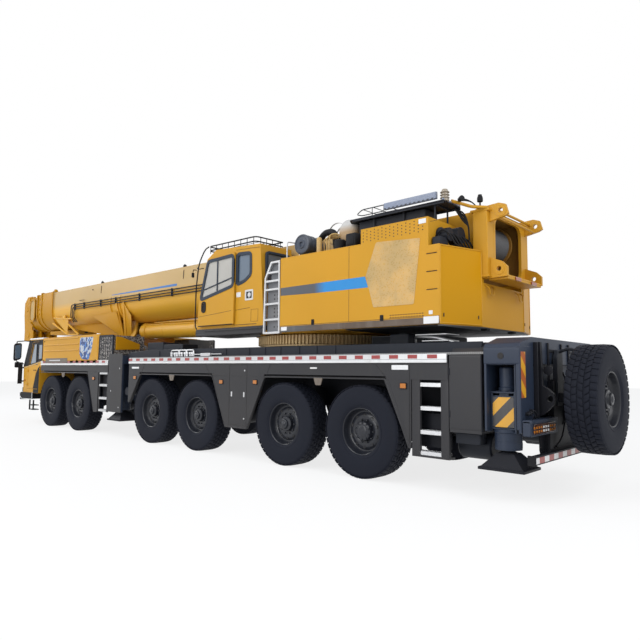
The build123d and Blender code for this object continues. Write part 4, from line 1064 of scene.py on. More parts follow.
# A brown copy of the yellow, as painted shade: yellow parts seen from inside the winch frame, its inner
# walls and the drum flanges.
shaded_yellow_brown = finish("flange_and_wall_shade", (0.26, 0.13, 0.025), 0.45, 0.2, 0.3, (0.2, 0.13, 0.05), shine=0.3)
piece("rear_steps", [pipe([(-1.612, y + 0.1, 2.84), (-1.665, y + 0.08, 2.8), (-1.665, y + 0.05, 2.7),
        (-1.665, y - 0.05, 2.7), (-1.665, y - 0.08, 2.8), (-1.612, y - 0.1, 2.84)], 0.03, 0.009)
        for y in (0.5, -0.5)], yellow, "superstructure")
lugs = [turned([(0.586, 0.0352), (0.586, grow), (0.594, grow + 0.004), (0.634, grow + 0.004), (0.644, grow),
        (0.644, 0.0352)], (x, 0, z), ACROSS, 36, True)
    for x, z, grow in ((-1.88, 3.89, 0.085), (-1.84, 3.055, 0.085))]
columns = [block((-1.69, 0.64, 2.935), (-1.478, 0.705, 3.925), 0.008),
    block((-1.704, 0.47, 2.935), (-1.676, 0.705, 3.935), 0.006),
    block((-1.72, 0.56, 2.945), (-1.46, 0.72, 2.975), 0.006),
    block((-1.74, 0.585, 3.905), (-1.44, 0.715, 3.945), 0.008),
    pipe([(-1.7, 0.7, 3.95), (-1.52, 0.8, 3.97), (-1.36, 1.1, 4.02)], 0.05, 0.024),
    plate(rounded([(-1.62, 3.94), (-0.62, 3.93), (-0.45, 3.82), (-0.45, 3.52), (-1.44, 3.52)], 0.02), 0.64,
        0.652, 0.003)]
turntable_pair("winch_columns", columns + lugs, yellow)


def band(outline, inner, near, far, along="y"):
    """Closed frame round an opening: outer and inner loops at both faces, on one grid."""
    outline, inner = np.array(outline, float), np.array(inner, float)
    return carried([(inner, near), (outline, near), (outline, far), (inner, far)], along, True)


inner_window = corners(-0.45, 3.035, 0.45, 3.86, 0.17, 8)
outer_window = corners(-0.5, 2.97, 0.5, 3.905, 0.02, 8)
piece("winch_window", [band(outer_window, inner_window, -1.706, -1.662, "x"),
        tube([(-1.78, y, 3.93) for y in (-0.6, 0.0, 0.6)], 0.02, 10),
        tube([(-1.86, y, 3.8) for y in (-0.6, 0.0, 0.6)], 0.016, 10),
        block((-1.955, -0.59, 2.905), (-1.7, 0.59, 2.938), 0.006)], yellow, "superstructure")
piece("winch_lamps", [block((-1.975, y - 0.09, 2.905), (-1.953, y + 0.09, 2.955), 0.006)
        for y in (-0.28, 0.28)], lens_red, "superstructure")
# Painted shade: the hood's top, end and inner side sheets are in the brown, for yellow seen in shadow.
piece("winch_hood", [block((-1.7, -0.6, 3.934), (-0.85, 0.6, 3.942), 0.002),
        block((-0.875, -0.6, 3.87), (-0.85, 0.6, 3.94), 0.002),
        mirrored(block((-1.655, 0.571, 2.985), (-0.92, 0.575, 3.93), 0.001))], shaded_yellow_brown,
    "superstructure")

winch_low, winch_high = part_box("winch_drum")
wraps = [(-0.398, 0.268)]
for n in range(28):
    y = -0.385 + n * 0.0285
    wraps += [(y - 0.0135, 0.273), (y - 0.007, 0.2845), (y, 0.2875), (y + 0.007, 0.2845)]
wraps.append((0.398, 0.268))
flange = [(0.4, 0.06), (0.4, 0.318), (0.412, 0.321), (0.43, 0.321), (0.441, 0.316), (0.441, 0.285),
    (0.43, 0.275), (0.43, 0.2), (0.446, 0.18), (0.47, 0.17), (0.5, 0.12), (0.56, 0.11), (0.56, 0.06)]
drum_bolts = turned(disc(0.428, 0.444, 0.014, 0.003, 0.002), (0, 0, 0), ACROSS, 6)
drum_turns = about(ACROSS, np.linspace(0, 2 * math.pi, 18, endpoint=False))
drum_place = np.array([(winch_low[0] + winch_high[0]) / 2 - X0, 0, (winch_low[2] + winch_high[2]) / 2])
spread = drum_turns @ np.array([0.235, 0, 0]) + drum_place
ends = mirrored([turned(flange, drum_place, ACROSS, 72, True), copies(drum_bolts, drum_turns, spread),
        turned([(0.55, 0.01), (0.55, 0.075), (0.7, 0.075), (0.712, 0.06), (0.712, 0.004)], drum_place,
        ACROSS, 28)])
# Painted shade: the drum flanges are in the brown, for their yellow paint seen from inside.
piece("winch_ends", ends, shaded_yellow_brown, "winch", "winch_drum", slot="winch_dark")
piece("winch_rope", turned(wraps, drum_place, ACROSS, 96), rope_steel, "winch", angle=50)

# ---- Gear behind the housings ------------------------------------------
# Fan motor, filter and hose bundle in the open corner between the stepped
# housing and the winch frame.
gear_bits, gear_hoses = [], []
for x, y, z, r, deep in ((-1.22, 1.18, 3.52, 0.12, 0.16), (-1.18, 0.86, 3.56, 0.15, 0.2)):
    gear_bits.append(turned([(0, 0.01), (0, r), (-0.03, r), (-0.04, r * 0.8), (-deep, r * 0.8),
            (-deep, 0.01)], (x, y, z), AHEAD, 32))
    gear_bits += [turned([(0.004, r * f - 0.005), (0.004, r * f + 0.005), (0.014, r * f + 0.004),
            (0.014, r * f - 0.004)], (x, y, z), AHEAD, 32, True) for f in (0.35, 0.6, 0.85)]
gear_bits += [block((-1.36, 1.2, 3.338), (-1.23, 1.42, 3.46), 0.01),
    block((-1.42, 0.76, 3.338), (-1.25, 1.05, 3.4), 0.01)]
turntable_pair("tail_motors", gear_bits, cast_dark)
for n in range(6):
    y = 0.74 + 0.11 * n
    gear_hoses.append(pipe([(-1.2, y, 3.42 + 0.03 * (n % 3)), (-1.33, y + 0.03, 3.56 + 0.03 * (n % 2)),
            (-1.42, y - 0.04, 3.5), (-1.46, y - 0.1, 3.36), (-1.4, 0.68, 3.345)], 0.12, 0.013, 8, 6))
turntable_pair("tail_hoses", gear_hoses, trim)
turntable_pair("tail_shelf", block((-1.372, 0.7, 3.325), (-1.222, 1.478, 3.337), 0.003), hollow)

# ---- Roof equipment ----------------------------------------------------
# Air cleaner, exhaust silencer and their ducts, and a service tray with a
# cable trunk, guard rail, beacon and camera over the left housing.
cleaner = [turned([(0.88, 0.02), (0.88, 0.15), (0.9, 0.16), (1.28, 0.165), (1.285, 0.174), (1.325, 0.176),
        (1.345, 0.168), (1.352, 0.15), (1.34, 0.14), (1.34, 0.075), (1.352, 0.065), (1.352, 0.045),
        (1.33, 0.035), (1.33, 0.003)], (1.38, 0, 3.745), ACROSS, 56),
    block((1.295, 1.0, 3.515), (1.465, 1.06, 3.62), 0.006),
    block((1.295, 1.2, 3.515), (1.465, 1.26, 3.62), 0.006)]
cleaner += [turned(disc(y - 0.012, y + 0.012, 0.171, 0.162), (1.38, 0, 3.745), ACROSS, 48, True)
    for y in (0.98, 1.14, 1.23)]
cleaner_blue = finish("cleaner_grey_blue", (0.024, 0.038, 0.068), 0.4, 0.2, 0.2)
piece("air_cleaner", cleaner, cleaner_blue, "superstructure", angle=40)
silencer = [turned([(0.7, 0.004), (0.705, 0.08), (0.725, 0.15), (0.765, 0.19), (0.8, 0.198), (1.06, 0.198),
        (1.1, 0.19), (1.14, 0.15), (1.16, 0.08), (1.165, 0.004)], (0.55, 0, 3.885), ACROSS, 56)]
silencer += [turned(disc(y - 0.014, y + 0.014, 0.202, 0.195), (0.845, 0, 3.885), ACROSS, 56, True)
    for y in (0.83, 1.03)]


def heat_worn(tree, base):
    """Pale lagging above, tan where dust and heat have marked it below."""
    return blend(tree, span(tree, axis_value(tree, 2), 3.86, 3.98), (0.5, 0.33, 0.17), (0.6, 0.6, 0.6))


lagging = pattern(finish("silencer_lagging", (0.6, 0.6, 0.6), 0.65, 0.3, 1.0, bump=0.005), heat_worn)
piece("silencer", silencer, lagging, "superstructure", angle=50)
ducts = [pipe([(1.3, 0.95, 3.88), (1.12, 1.02, 3.97), (0.88, 1.04, 3.94), (0.86, 1.04, 3.7),
        (0.81, 1.04, 3.5)], 0.12, 0.055, 14, 8),
    pipe([(1.06, 0.86, 3.76), (0.93, 0.84, 3.86), (0.74, 0.9, 3.88)], 0.1, 0.045, 14, 8),
    turned([(3.515, 0.01), (3.515, 0.1), (3.7, 0.1), (3.72, 0.07), (3.72, 0.01)], (0.6, 1.24, 0), UP, 24),
    block((0.34, 0.78, 3.515), (0.8, 1.16, 3.7), 0.02),
    block((0.14, 1.1, 3.518), (0.34, 1.42, 3.745), 0.015),
    block((0.17, 1.415, 3.56), (0.31, 1.428, 3.7), 0.004)]
piece("intake_ducts", ducts, trim, "superstructure", angle=45)
pipes_up = [pipe([(1.0 - 0.06 * n, 1.24, 3.515), (1.0 - 0.06 * n, 1.26, 3.74 + 0.03 * n),
        (0.88 - 0.05 * n, 1.2, 3.8 + 0.02 * n), (0.8 - 0.05 * n, 1.1, 3.8)], 0.06, 0.013) for n in range(4)]
pipes_up.append(turned([(3.515, 0.01), (3.515, 0.045), (3.78, 0.045), (3.8, 0.03), (3.8, 0.01)],
        (0.98, 1.33, 0), UP, 20))
piece("fuel_pipes", pipes_up, boom_yellow, "superstructure")

tray = [plate(rounded([(0.44, 1.15), (0.34, 1.315), (-1.36, 1.335), (-1.36, 0.82), (0.3, 0.82)], 0.03),
        3.972, 3.99, 0.004, "z")]
tray += [block((x, 0.84, 3.95), (x + 0.04, 1.31, 3.973), 0.004) for x in (-1.2, -0.8, -0.4, 0.0)]
tray.append(block((-1.0, 0.88, 3.745), (0.22, 1.22, 3.952), 0.01))
tray += [block((-1.358, y, 3.945), (0.28, y + 0.02, 3.973), 0.003) for y in (0.83, 1.3)]
tray += [tube([(x, y, z) for z in (3.735, 3.85, 3.955)], 0.014, 8) for x in (-0.1, -0.65, -1.18)
    for y in (0.9, 1.25)]
piece("service_tray", tray, cast_dark, "superstructure")
trunk_grey = finish("trunk_grey", (0.22, 0.26, 0.36), 0.42, 0.2, 0.2, (0.24, 0.24, 0.26))
piece("cable_trunk", [plate(rounded([(1.265, 4.03), (1.325, 4.03), (1.325, 4.13), (1.265, 4.14)], 0.012),
        -1.235, -0.335, 0.004, "x"), block((-1.362, 0.84, 3.99), (-1.34, 1.33, 4.012), 0.003),
        plate(corners(1.06, 4.0, 1.12, 4.045, 0.01), -1.235, -0.335, 0.004, "x")], trunk_grey,
    "superstructure")
trunk_slots = [block((x, 1.3245, 4.036), (x + 0.035, 1.3265, 4.048), 0.0006)
    for x in np.arange(-1.2, -0.36, 0.075)]
trunk_slots.append(block((-0.345, 1.27, 4.04), (-0.33, 1.32, 4.12), 0.002))
piece("trunk_slots", trunk_slots, hollow, "superstructure")
guard_bars = [pipe([(-0.34, 1.3, 4.115), (0.1, 1.3, 4.115), (0.22, 1.28, 4.06), (0.1, 1.3, 4.02),
        (-0.3, 1.3, 4.02)], 0.04, 0.008), pipe([(-0.34, 0.95, 4.115), (0.1, 0.95, 4.115),
        (0.22, 0.95, 4.06), (0.1, 0.95, 4.0)], 0.04, 0.008)]
guard_bars += [tube([(x, 1.3 - 0.175 * k, 4.115) for k in (0, 1, 2)], 0.006, 6)
    for x in (0.08, -0.12, -0.32)]
guard_bars += [tube([(x, 1.3, z) for z in (3.985, 4.05, 4.115)], 0.006, 6) for x in (-0.1, -0.32)]
piece("tray_guard", guard_bars, cast_dark, "superstructure")
beacon = [turned([(3.988, 0.004), (3.988, 0.06), (4.01, 0.062), (4.014, 0.052), (4.135, 0.048),
        (4.158, 0.036), (4.165, 0.004)], (-1.335, 1.24, 0), UP, 32)]
beacon += [turned(disc(z, z + 0.008, 0.066, 0.05), (-1.335, 1.24, 0), UP, 32, True)
    for z in (4.03, 4.07, 4.11)]
piece("beacon", beacon, finish("beacon_lens", (0.3, 0.25, 0.19), 0.3, 0.15, 0.1, coat=0.3),
    "superstructure")
wiring = [turned([(3.945, 0.004), (3.945, 0.03), (3.955, 0.03), (3.96, 0.012), (4.06, 0.012), (4.065, 0.04),
        (4.075, 0.042), (4.12, 0.042), (4.126, 0.038), (4.14, 0.038), (4.146, 0.03), (4.17, 0.028),
        (4.176, 0.004)], (-1.575, 0.655, 0), UP, 24),
    turned([(0.0, 0.004), (0.0, 0.03), (0.05, 0.04), (0.075, 0.04), (0.085, 0.004)], (-1.44, 1.02, 4.035),
        (-0.6, 0.3, 0.1), 20)]
wiring += [pipe([(-1.34, 1.02 - 0.03 * n, 4.0), (-1.42, 0.94, 4.055 + 0.012 * n), (-1.52, 0.8, 4.05),
        (-1.56, 0.68, 3.955)], 0.12, 0.009, 8, 6) for n in range(4)]
wiring += [pipe([(-1.3, 0.84 + 0.02 * n, 3.96), (-1.4, 0.8, 3.9 - 0.05 * n), (-1.44, 0.75, 3.72),
        (-1.43, 0.72, 3.5)], 0.12, 0.011, 8, 6) for n in range(4)]
piece("roof_wiring", wiring, trim, "superstructure")
right_boxes = [block((0.3, -1.3, 3.516), (1.2, -0.8, 3.66), 0.02),
    block((-1.0, -1.32, 3.741), (-0.2, -0.84, 3.84), 0.02)]
right_boxes += [block((x - 0.06, -1.25, 3.658), (x + 0.06, -0.85, 3.675), 0.006)
    for x in (0.45, 0.65, 0.85, 1.05)]
right_boxes.append(turned([(3.516, 0.01), (3.516, 0.09), (3.9, 0.09), (3.93, 0.07), (4.06, 0.065),
        (4.06, 0.05), (3.9, 0.045), (3.9, 0.005)], (1.5, -1.05, 0), UP, 28))
piece("right_roof_boxes", right_boxes, cast_dark, "superstructure")

# ---- Access ladder -----------------------------------------------------
# Aluminium ladder behind the operator's cab: two flat rails, the outer one
# bent in at the top, cross treads, and punched toe plates set back.
coat_nodes(aluminium, "access_ladder")
ladder = []
outer_rail = np.array([(2.178, 2.226), (2.143, 2.226), (2.118, 3.205), (1.975, 3.452), (1.975, 3.498),
        (2.0, 3.498), (2.152, 3.215)])
ladder += [plate(outer_rail, 1.44, 1.482, 0.003),
    plate(((1.752, 2.226), (1.788, 2.226), (1.802, 3.498), (1.768, 3.498)), 1.44, 1.482, 0.003)]
ladder += [block((1.77, 1.405, z - 0.018), (x_end, 1.484, z + 0.018), 0.004)
    for z, x_end in ((2.24, 2.16), (2.47, 2.155), (2.745, 2.145), (3.0, 2.138), (3.15, 2.135), (3.3, 2.08),
        (3.478, 2.0))]
toe = [block((1.785, 1.412, 2.26), (2.13, 1.418, 3.14), 0.001),
    block((1.785, 1.412, 3.14), (2.04, 1.418, 3.45), 0.001)]
toe_grey = finish("toe_plate", (0.14, 0.15, 0.17), 0.5, 0.3, 0.3, metal=0.4)
piece("ladder_frame", ladder, aluminium, "superstructure", "access_ladder", slot="ladder_aluminium")
piece("ladder_toe_plates", toe, toe_grey, "superstructure")
toe_hole = turned(disc(1.4165, 1.4195, 0.016, 0.002), (0, 0, 0), ACROSS, 12)
toe_holes = [(x, 0, z) for zs in ((2.835, 2.905), (2.535, 2.6, 2.665), (2.345,)) for z in zs
    for x in (1.86, 1.95)]
piece("ladder_holes", scattered(toe_hole, toe_holes), hollow, "superstructure")

# ---- Operator's cab ----------------------------------------------------
# Pressed steel cab with a sliding door, bonded windows in thick rubber
# frames, a roof guard of round bar, and a charcoal platform below.
glass = finish("window_glass", (0.085, 0.13, 0.19), 0.06, 0.06, 0.0, (0.2, 0.22, 0.24), coat=1.0,
    bump=0.0005)
coat_nodes(glass, "front_cab_glass", "operator_cab_glass")
cab_face, door_face = 1.4405, 1.4885
piece("cab_platform", [block((2.195, 0.642, 2.246), (4.192, 1.478, 2.386), 0.012),
        block((2.195, 1.46, 2.33), (3.9, 1.5, 2.352), 0.006),
        block((2.22, 1.455, 2.25), (4.17, 1.484, 2.29), 0.01),
        block((4.15, 0.66, 2.275), (4.215, 1.46, 2.375), 0.012)], charcoal, "superstructure")
door_glass = rounded([(3.05, 3.18), (4.01, 2.99), (3.8, 3.7), (3.05, 3.73)], 0.05, 6)
quarter = rounded([(2.59, 3.35), (2.75, 3.25), (2.95, 3.205), (2.95, 3.745), (2.6, 3.725)], 0.05, 6)
gasket = finish("window_rubber", (0.022, 0.034, 0.055), 0.55, 0.1, 0.3, (0.1, 0.1, 0.11), shine=0.25)
piece("door_window_frame", [band(grown(door_glass, 0.05), grown(door_glass, -0.012), door_face - 0.02,
        door_face + 0.007), block((3.5, door_face - 0.022, 3.1), (3.525, door_face + 0.004, 3.715), 0.002),
        plate(((3.06, 3.315), (3.06, 3.335), (3.95, 3.17), (3.955, 3.15)), door_face - 0.022,
        door_face + 0.004, 0.002)], gasket, "operator_door")
clear = finish("clear_glass", (0.66, 0.64, 0.6), 0.08, 0.05, 0.0, (0.5, 0.5, 0.48), coat=0.6, bump=0.0005,
    clear=0.4)
piece("door_glass", plate(grown(door_glass, 0.004), door_face - 0.02, door_face - 0.013, 0.001), clear,
    "operator_door")
piece("quarter_window_frame", [band(grown(quarter, 0.05), grown(quarter, -0.012), cab_face - 0.02,
        cab_face + 0.008), band(corners(2.955, 3.195, 3.012, 3.76), corners(2.98, 3.3, 2.985, 3.7),
        cab_face - 0.02, cab_face + 0.002)], gasket, "superstructure")
screen_bars = [tube([(4.165, y, 2.81), (4.172, y, 2.95), (3.925, y, 3.715)], 0.016, 8)
    for y in (0.735, 1.36)]
screen_bars += [tube([(4.178, y, 2.81) for y in (0.735, 1.05, 1.36)], 0.016, 8),
    tube([(3.925, y, 3.722) for y in (0.735, 1.05, 1.36)], 0.016, 8),
    tube([(4.178, 1.05, 2.83), (4.16, 1.12, 3.0), (4.07, 1.25, 3.3)], 0.007, 6)]
rear_frame = corners(0.775, 3.15, 1.32, 3.72, 0.04, 6)
screen_bars.append(band(grown(rear_frame, 0.03), grown(rear_frame, -0.01), 2.29, 2.245, "x"))
piece("screen_frames", screen_bars, gasket, "superstructure")

piece("door_seam", tube([(x, door_face - 0.001, z) for x, z in ((4.15, 2.63), (3.4, 2.675), (3.065, 2.7))],
        0.0035, 6), hollow, "operator_door")
shell_seams = [tube([(x, cab_face, z) for x, z in ((2.99, 2.705), (2.8, 2.715), (2.59, 2.728))], 0.0035, 6),
    tube([(3.03, cab_face + 0.002, z) for z in (2.42, 2.8, 3.22)], 0.005, 6),
    tube([(x, cab_face + 0.002, 2.425) for x in (2.4, 2.7, 3.03)], 0.005, 6),
    tube([(x, cab_face + 0.001, z) for x, z in ((3.0, 3.845), (2.6, 3.83), (2.33, 3.815))], 0.0035, 6)]
flap = ((2.36, 2.47), (2.36, 2.69), (2.55, 2.69), (2.55, 2.47), (2.36, 2.47))
shell_seams.append(tube([(x, cab_face, z) for x, z in flap], 0.003, 6))
piece("cab_seams", shell_seams, hollow, "superstructure")
piece("door_handle", [band(corners(3.85, 2.705, 3.99, 2.93, 0.07, 6),
        corners(3.875, 2.74, 3.965, 2.895, 0.045, 6), door_face - 0.004, door_face + 0.012),
        plate(corners(3.88, 2.745, 3.96, 2.89, 0.04, 6), door_face - 0.002, door_face + 0.003, 0.001),
        block((3.02, door_face - 0.006, 2.435), (4.09, door_face + 0.008, 2.452), 0.003)], trim,
    "operator_door")
piece("cab_lock", [band(corners(2.5, 2.865, 2.725, 3.06, 0.02), corners(2.535, 2.9, 2.69, 3.025, 0.015),
        cab_face - 0.003, cab_face + 0.004), turned([(1.438, 0.003), (1.438, 0.045), (1.444, 0.042),
        (1.445, 0.03), (1.445, 0.002)], (2.61, 0, 2.965), ACROSS, 24),
        block((2.6, 1.44, 2.91), (2.62, 1.446, 3.01), 0.001)], aluminium, "superstructure")
piece("cab_blank_sign", plate(corners(2.85, 2.945, 2.975, 3.035, 0.01), cab_face - 0.002, cab_face + 0.002,
        0.001), white_paint, "superstructure")
piece("lock_recess", plate(corners(2.53, 2.895, 2.695, 3.03), cab_face - 0.003, cab_face + 0.001, 0.0005),
    cast_dark, "superstructure")

loop = [(2.5, 0.72), (2.5, 1.4), (3.92, 1.4), (3.92, 0.72)]
guard_rail = [pipe([(x, y, z) for x, y in loop], 0.1, 0.013) for z in (4.045, 3.96)]
guard_rail.append(tube([(x, 0.72, 4.045) for x in (2.5, 3.2, 3.92)], 0.013, 8))
for x in np.linspace(2.56, 3.86, 8):
    guard_rail += [tube([(x, 1.4, z) for z in (3.9 - 0.004 * abs(x - 3.2), 3.98, 4.045)], 0.007, 6),
        tube([(x, 0.72, z) for z in (3.9, 3.98, 4.045)], 0.007, 6)]
for y in np.linspace(0.84, 1.28, 4):
    guard_rail += [tube([(x, y, 3.965) for x in (2.5, 3.2, 3.92)], 0.006, 6),
        tube([(2.5, y, z) for z in (3.89, 3.97, 4.045)], 0.007, 6)]
guard_rail += [pipe([(3.92, 1.4, 4.045), (4.06, 1.4, 4.0), (4.22, 1.42, 3.72), (4.262, 1.44, 3.2),
        (4.262, 1.44, 2.45), (4.2, 1.43, 2.38)], 0.14, 0.013, 8, 7),
    pipe([(4.235, 1.43, 3.62), (4.05, 1.42, 3.62)], 0.02, 0.009)]
piece("cab_roof_guard", guard_rail, trim, "superstructure")
piece("cab_mirror", [plate(corners(1.5, 3.44, 1.56, 3.54, 0.02), 4.245, 4.265, 0.004, "x"),
        pipe([(4.255, 1.44, 3.6), (4.255, 1.53, 3.6), (4.255, 1.53, 3.55)], 0.02, 0.008)], trim,
    "superstructure")
piece("cab_console", [plate(rounded([(3.75, 2.45), (4.02, 2.45), (4.05, 2.75), (3.92, 3.1), (3.8, 3.06)],
        0.03), 0.76, 1.0, 0.01), block((3.55, 0.85, 2.442), (3.9, 1.25, 2.475), 0.01)], trim,
    "superstructure")

# ---- Boom --------------------------------------------------------------
# Four nested box sections bent from high-strength plate, flat on top and
# round below, with bolted collars, a pipe run, a rod bracket and the head.
coat_nodes(boom_yellow, "boom_base")
boom_half = 0.565


def sky_sheen_flats(tree, base):
    """Painted sky sheen: the paint is made paler above the bend, where the flat sides face the sky."""
    return blend(tree, span(tree, axis_value(tree, 2), 3.42, 3.6), base, (0.49, 0.325, 0.125))


# Painted sheen: the boom's flat sides are paler above the bend, standing for the sky's reflection.
pattern(boom_yellow, sky_sheen_flats)
# A darker copy of the boom yellow: the deeper tone of the collars and sections, and painted shade where it
# stands on undersides, pocket rims, sheaves and the cooler guard.
golden = finish("collar_and_shade_yellow", (0.48, 0.225, 0.003), 0.45, 0.08, 0.25, (0.38, 0.23, 0.03), shine=0.15)
coat_nodes(golden, "boom_section_2", "boom_section_3", "boom_section_4")


def leaf(points, thick):
    """Flat sheet in space: the outline and its copy moved along the sheet's normal."""
    flat = np.array(points, float)
    normal = np.cross(flat[1] - flat[0], flat[2] - flat[0])
    normal /= np.linalg.norm(normal)
    return np.vstack([flat - normal * thick / 2, flat + normal * thick / 2]), faces_of(2, len(flat), False)


def boom_pair(name, shells, material):
    """The same pieces on the left and right of the boom's base."""
    return piece(name, mirrored(shells), material, "boom")


stripe_outline = [(9.42, 3.6), (9.42, 3.618), (8.6, 3.625), (6.28, 3.632), (6.28, 3.575), (8.6, 3.59)]
boom_blue = finish("boom_stripe", (0.004, 0.13, 0.42), 0.38, 0.08, 0.2, (0.1, 0.16, 0.26))
boom_pair("boom_stripes", plate(stripe_outline, boom_half - 0.002, boom_half + 0.0025, 0.001), boom_blue)
pipe_run = []
for n, z in enumerate((3.365, 3.43, 3.5)):
    end = 11.62 + 0.1 * n
    pipe_run.append(pipe([(4.55, 0.602, z), (7.0, 0.602, z), (end, 0.602, z), (end + 0.02, 0.6, 3.12),
            (end - 0.02, 0.5, 2.98)], 0.1, 0.0135))
boom_pair("boom_pipes", pipe_run, cast_dark)
clips = [block((x - 0.009, 0.562, 3.335), (x + 0.009, 0.618, 3.53), 0.003)
    for x in (4.9, 6.44, 7.92, 9.14, 9.99, 11.0, 11.6)]
for x in (6.0, 10.02):
    clips += [block((x - 0.03, 0.5, 3.998), (x + 0.03, 0.575, 4.03), 0.005),
        tube([(x - 0.05, 0.545, 4.02), (x + 0.01, 0.545, 4.055), (x + 0.06, 0.545, 4.02)], 0.016, 8),
        tube([(x, 0.568, 3.93), (x + 0.01, 0.57, 3.83), (x + 0.02, 0.568, 3.72)], 0.008, 8)]
clips += [turned([(0.56, 0.003), (0.56, 0.022), (0.578, 0.02), (0.578, 0.002)], (x, 0, z), ACROSS, 12)
    for x, z in ((10.54, 3.86), (5.45, 3.9))]
clips.append(pipe([(11.05, 0.566, 3.6), (11.08, 0.6, 3.6), (11.3, 0.6, 3.6), (11.33, 0.566, 3.6)], 0.02,
        0.008, 6))
boom_pair("pipe_clips", clips, cast_dark)
boom_pair("boom_welds", [tube([(x, y, z) for x in (0.35, 6.625, 12.9)], 0.0055, 6)
        for y, z in ((boom_half, 3.398), (boom_half - 0.004, 3.992))], boom_yellow)


def tube_section(half, top, bottom):
    """Boom outline across: a flat top with tight corners and a half-round underside."""
    a = np.linspace(np.pi, 2 * np.pi, 24)
    under = np.stack([half * np.cos(a), bottom + half + half * np.sin(a)], 1)
    corner = 0.035
    return np.vstack([under, [(half, top - corner), (half - corner * 0.3, top - corner * 0.3),
            (half - corner, top), (-half + corner, top), (-half + corner * 0.3, top - corner * 0.3),
            (-half, top - corner)]])


def hoop(half, top, bottom, grow, x0, x1):
    """Ring round the boom between two places: the section outline grown outwards."""
    inner = tube_section(half, top, bottom)
    return band(tube_section(half + grow, top + grow, bottom - grow), inner, x0, x1, "x")


hoops = [hoop(0.588, 4.023, 2.812, 0.014, 13.2, 14.055), hoop(0.59, 4.025, 2.81, 0.034, 14.0, 14.058),
    hoop(0.59, 4.025, 2.81, 0.022, 13.185, 13.22)]
hoops += [plate(rounded([(13.3, 4.02), (13.46, 4.02), (13.46, 4.12), (13.4, 4.145), (13.33, 4.09)], 0.02),
        y - 0.04, y + 0.04, 0.006) for y in (-0.42, 0.42)]
for n in range(5):
    z = 3.86 - 0.17 * n
    hoops += [turned([(side * 0.598, 0.003), (side * 0.598, 0.02), (side * 0.612, 0.018),
            (side * 0.612, 0.002)], (13.96, 0, z), ACROSS, 6) for side in (1, -1)]
piece("boom_collar", hoops, golden, "boom")
for part, body, half, top, bottom, front, back in (("section_2", "boom_2", 0.525, 3.96, 2.875, 14.47, 0.4),
        ("section_3", "boom_3", 0.485, 3.92, 2.915, 15.21, 0.72)):
    rings = [hoop(half + 0.034, top + 0.034, bottom - 0.034, 0.034, front - 0.055, front + 0.004),
        hoop(half + 0.034, top + 0.034, bottom - 0.034, 0.014, front - back, front - back + 0.035)]
    for side in (1, -1):
        rings += [turned([(side * (half + 0.032), 0.003), (side * (half + 0.032), 0.022),
                (side * (half + 0.052), 0.02), (side * (half + 0.052), 0.002)],
                (front - back / 2, 0, 3.85 - 0.16 * n), ACROSS, 6) for n in range(5)]
        rings.append(plate(rounded([(front - 0.1, top + 0.03), (front, top + 0.03), (front, top + 0.115),
                (front - 0.06, top + 0.125)], 0.02), side * 0.36, side * 0.42, 0.005))
    piece(part + "_collar", rings, golden, body)

rod_ribs = [leaf([(10.66, 0.47, 3.1), (9.15, 0.56, 3.14), (9.3, 0.235, 2.46)], 0.014),
    leaf([(9.13, 0.6, 3.36), (9.05, 0.6, 3.36), (9.24, 0.235, 2.44), (9.34, 0.235, 2.44)], 0.03),
    leaf([(8.7, 0.6, 3.34), (8.46, 0.5, 2.99), (8.86, 0.24, 2.55)], 0.012),
    leaf([(8.7, 0.6, 3.34), (8.86, 0.24, 2.55), (9.16, 0.24, 2.4)], 0.012),
    leaf([(8.74, 0.604, 3.36), (8.66, 0.604, 3.36), (9.1, 0.24, 2.4), (9.2, 0.24, 2.4)], 0.03),
    plate(rounded([(8.64, 2.58), (8.74, 2.45), (8.92, 2.452), (9.3, 2.452), (9.42, 2.56), (10.4, 2.9),
        (10.4, 2.95), (8.68, 2.95)], 0.05), 0.216, 0.236, 0.003),
    turned([(0.205, 0.01), (0.205, 0.125), (0.245, 0.12), (0.25, 0.105), (0.262, 0.1), (0.262, 0.004)],
        (9.0, 0, 2.615), ACROSS, 32)]
# Painted shade: the bracket floor and its webs are in the darker yellow, for the shadowed underside between
# boom and cylinder.
piece("rod_bracket_floor", [leaf([(10.62, 0.46, 3.075), (10.62, -0.46, 3.075), (9.3, -0.2, 2.456),
        (9.3, 0.2, 2.456)], 0.012), leaf([(12.3, 0.3, 2.822), (12.3, -0.3, 2.822), (9.32, -0.21, 2.449),
        (9.32, 0.21, 2.449)], 0.01), mirrored(leaf([(12.3, 0.295, 2.825), (9.32, 0.205, 2.452),
        (9.32, 0.205, 2.95), (12.3, 0.295, 2.96)], 0.01))], golden, "boom")
piece("boom_nose_block", block((12.0, -0.05, 2.69), (12.48, 0.05, 2.84), 0.02), cast_dark, "boom")
boom_pair("rod_bracket_gussets", rod_ribs, boom_yellow)
rest = [tube([(13.06, 0.58, 3.174), (12.42, 0.58, 3.129), (11.79, 0.58, 3.084)], 0.022, 8),
    tube([(13.18, 0.56, 3.017), (12.76, 0.505, 2.83), (12.34, 0.45, 2.64)], 0.028, 8),
    tube([(12.11, 0.53, 2.932), (11.87, 0.475, 2.77), (11.64, 0.42, 2.613)], 0.028, 8),
    tube([(12.34, 0.45, 2.64), (12.0, 0.435, 2.62), (11.64, 0.42, 2.613)], 0.02, 8),
    tube([(12.4, 0.575, 3.128), (12.33, 0.5, 2.9), (12.29, 0.44, 2.672)], 0.02, 8),
    block((12.24, 0.56, 3.12), (12.4, 0.605, 3.215), 0.01),
    leaf([(12.98, 0.572, 3.15), (12.05, 0.572, 3.085), (12.13, 0.53, 2.932), (12.36, 0.452, 2.66)], 0.01)]
boom_pair("boom_stay_plates", rest, boom_yellow)
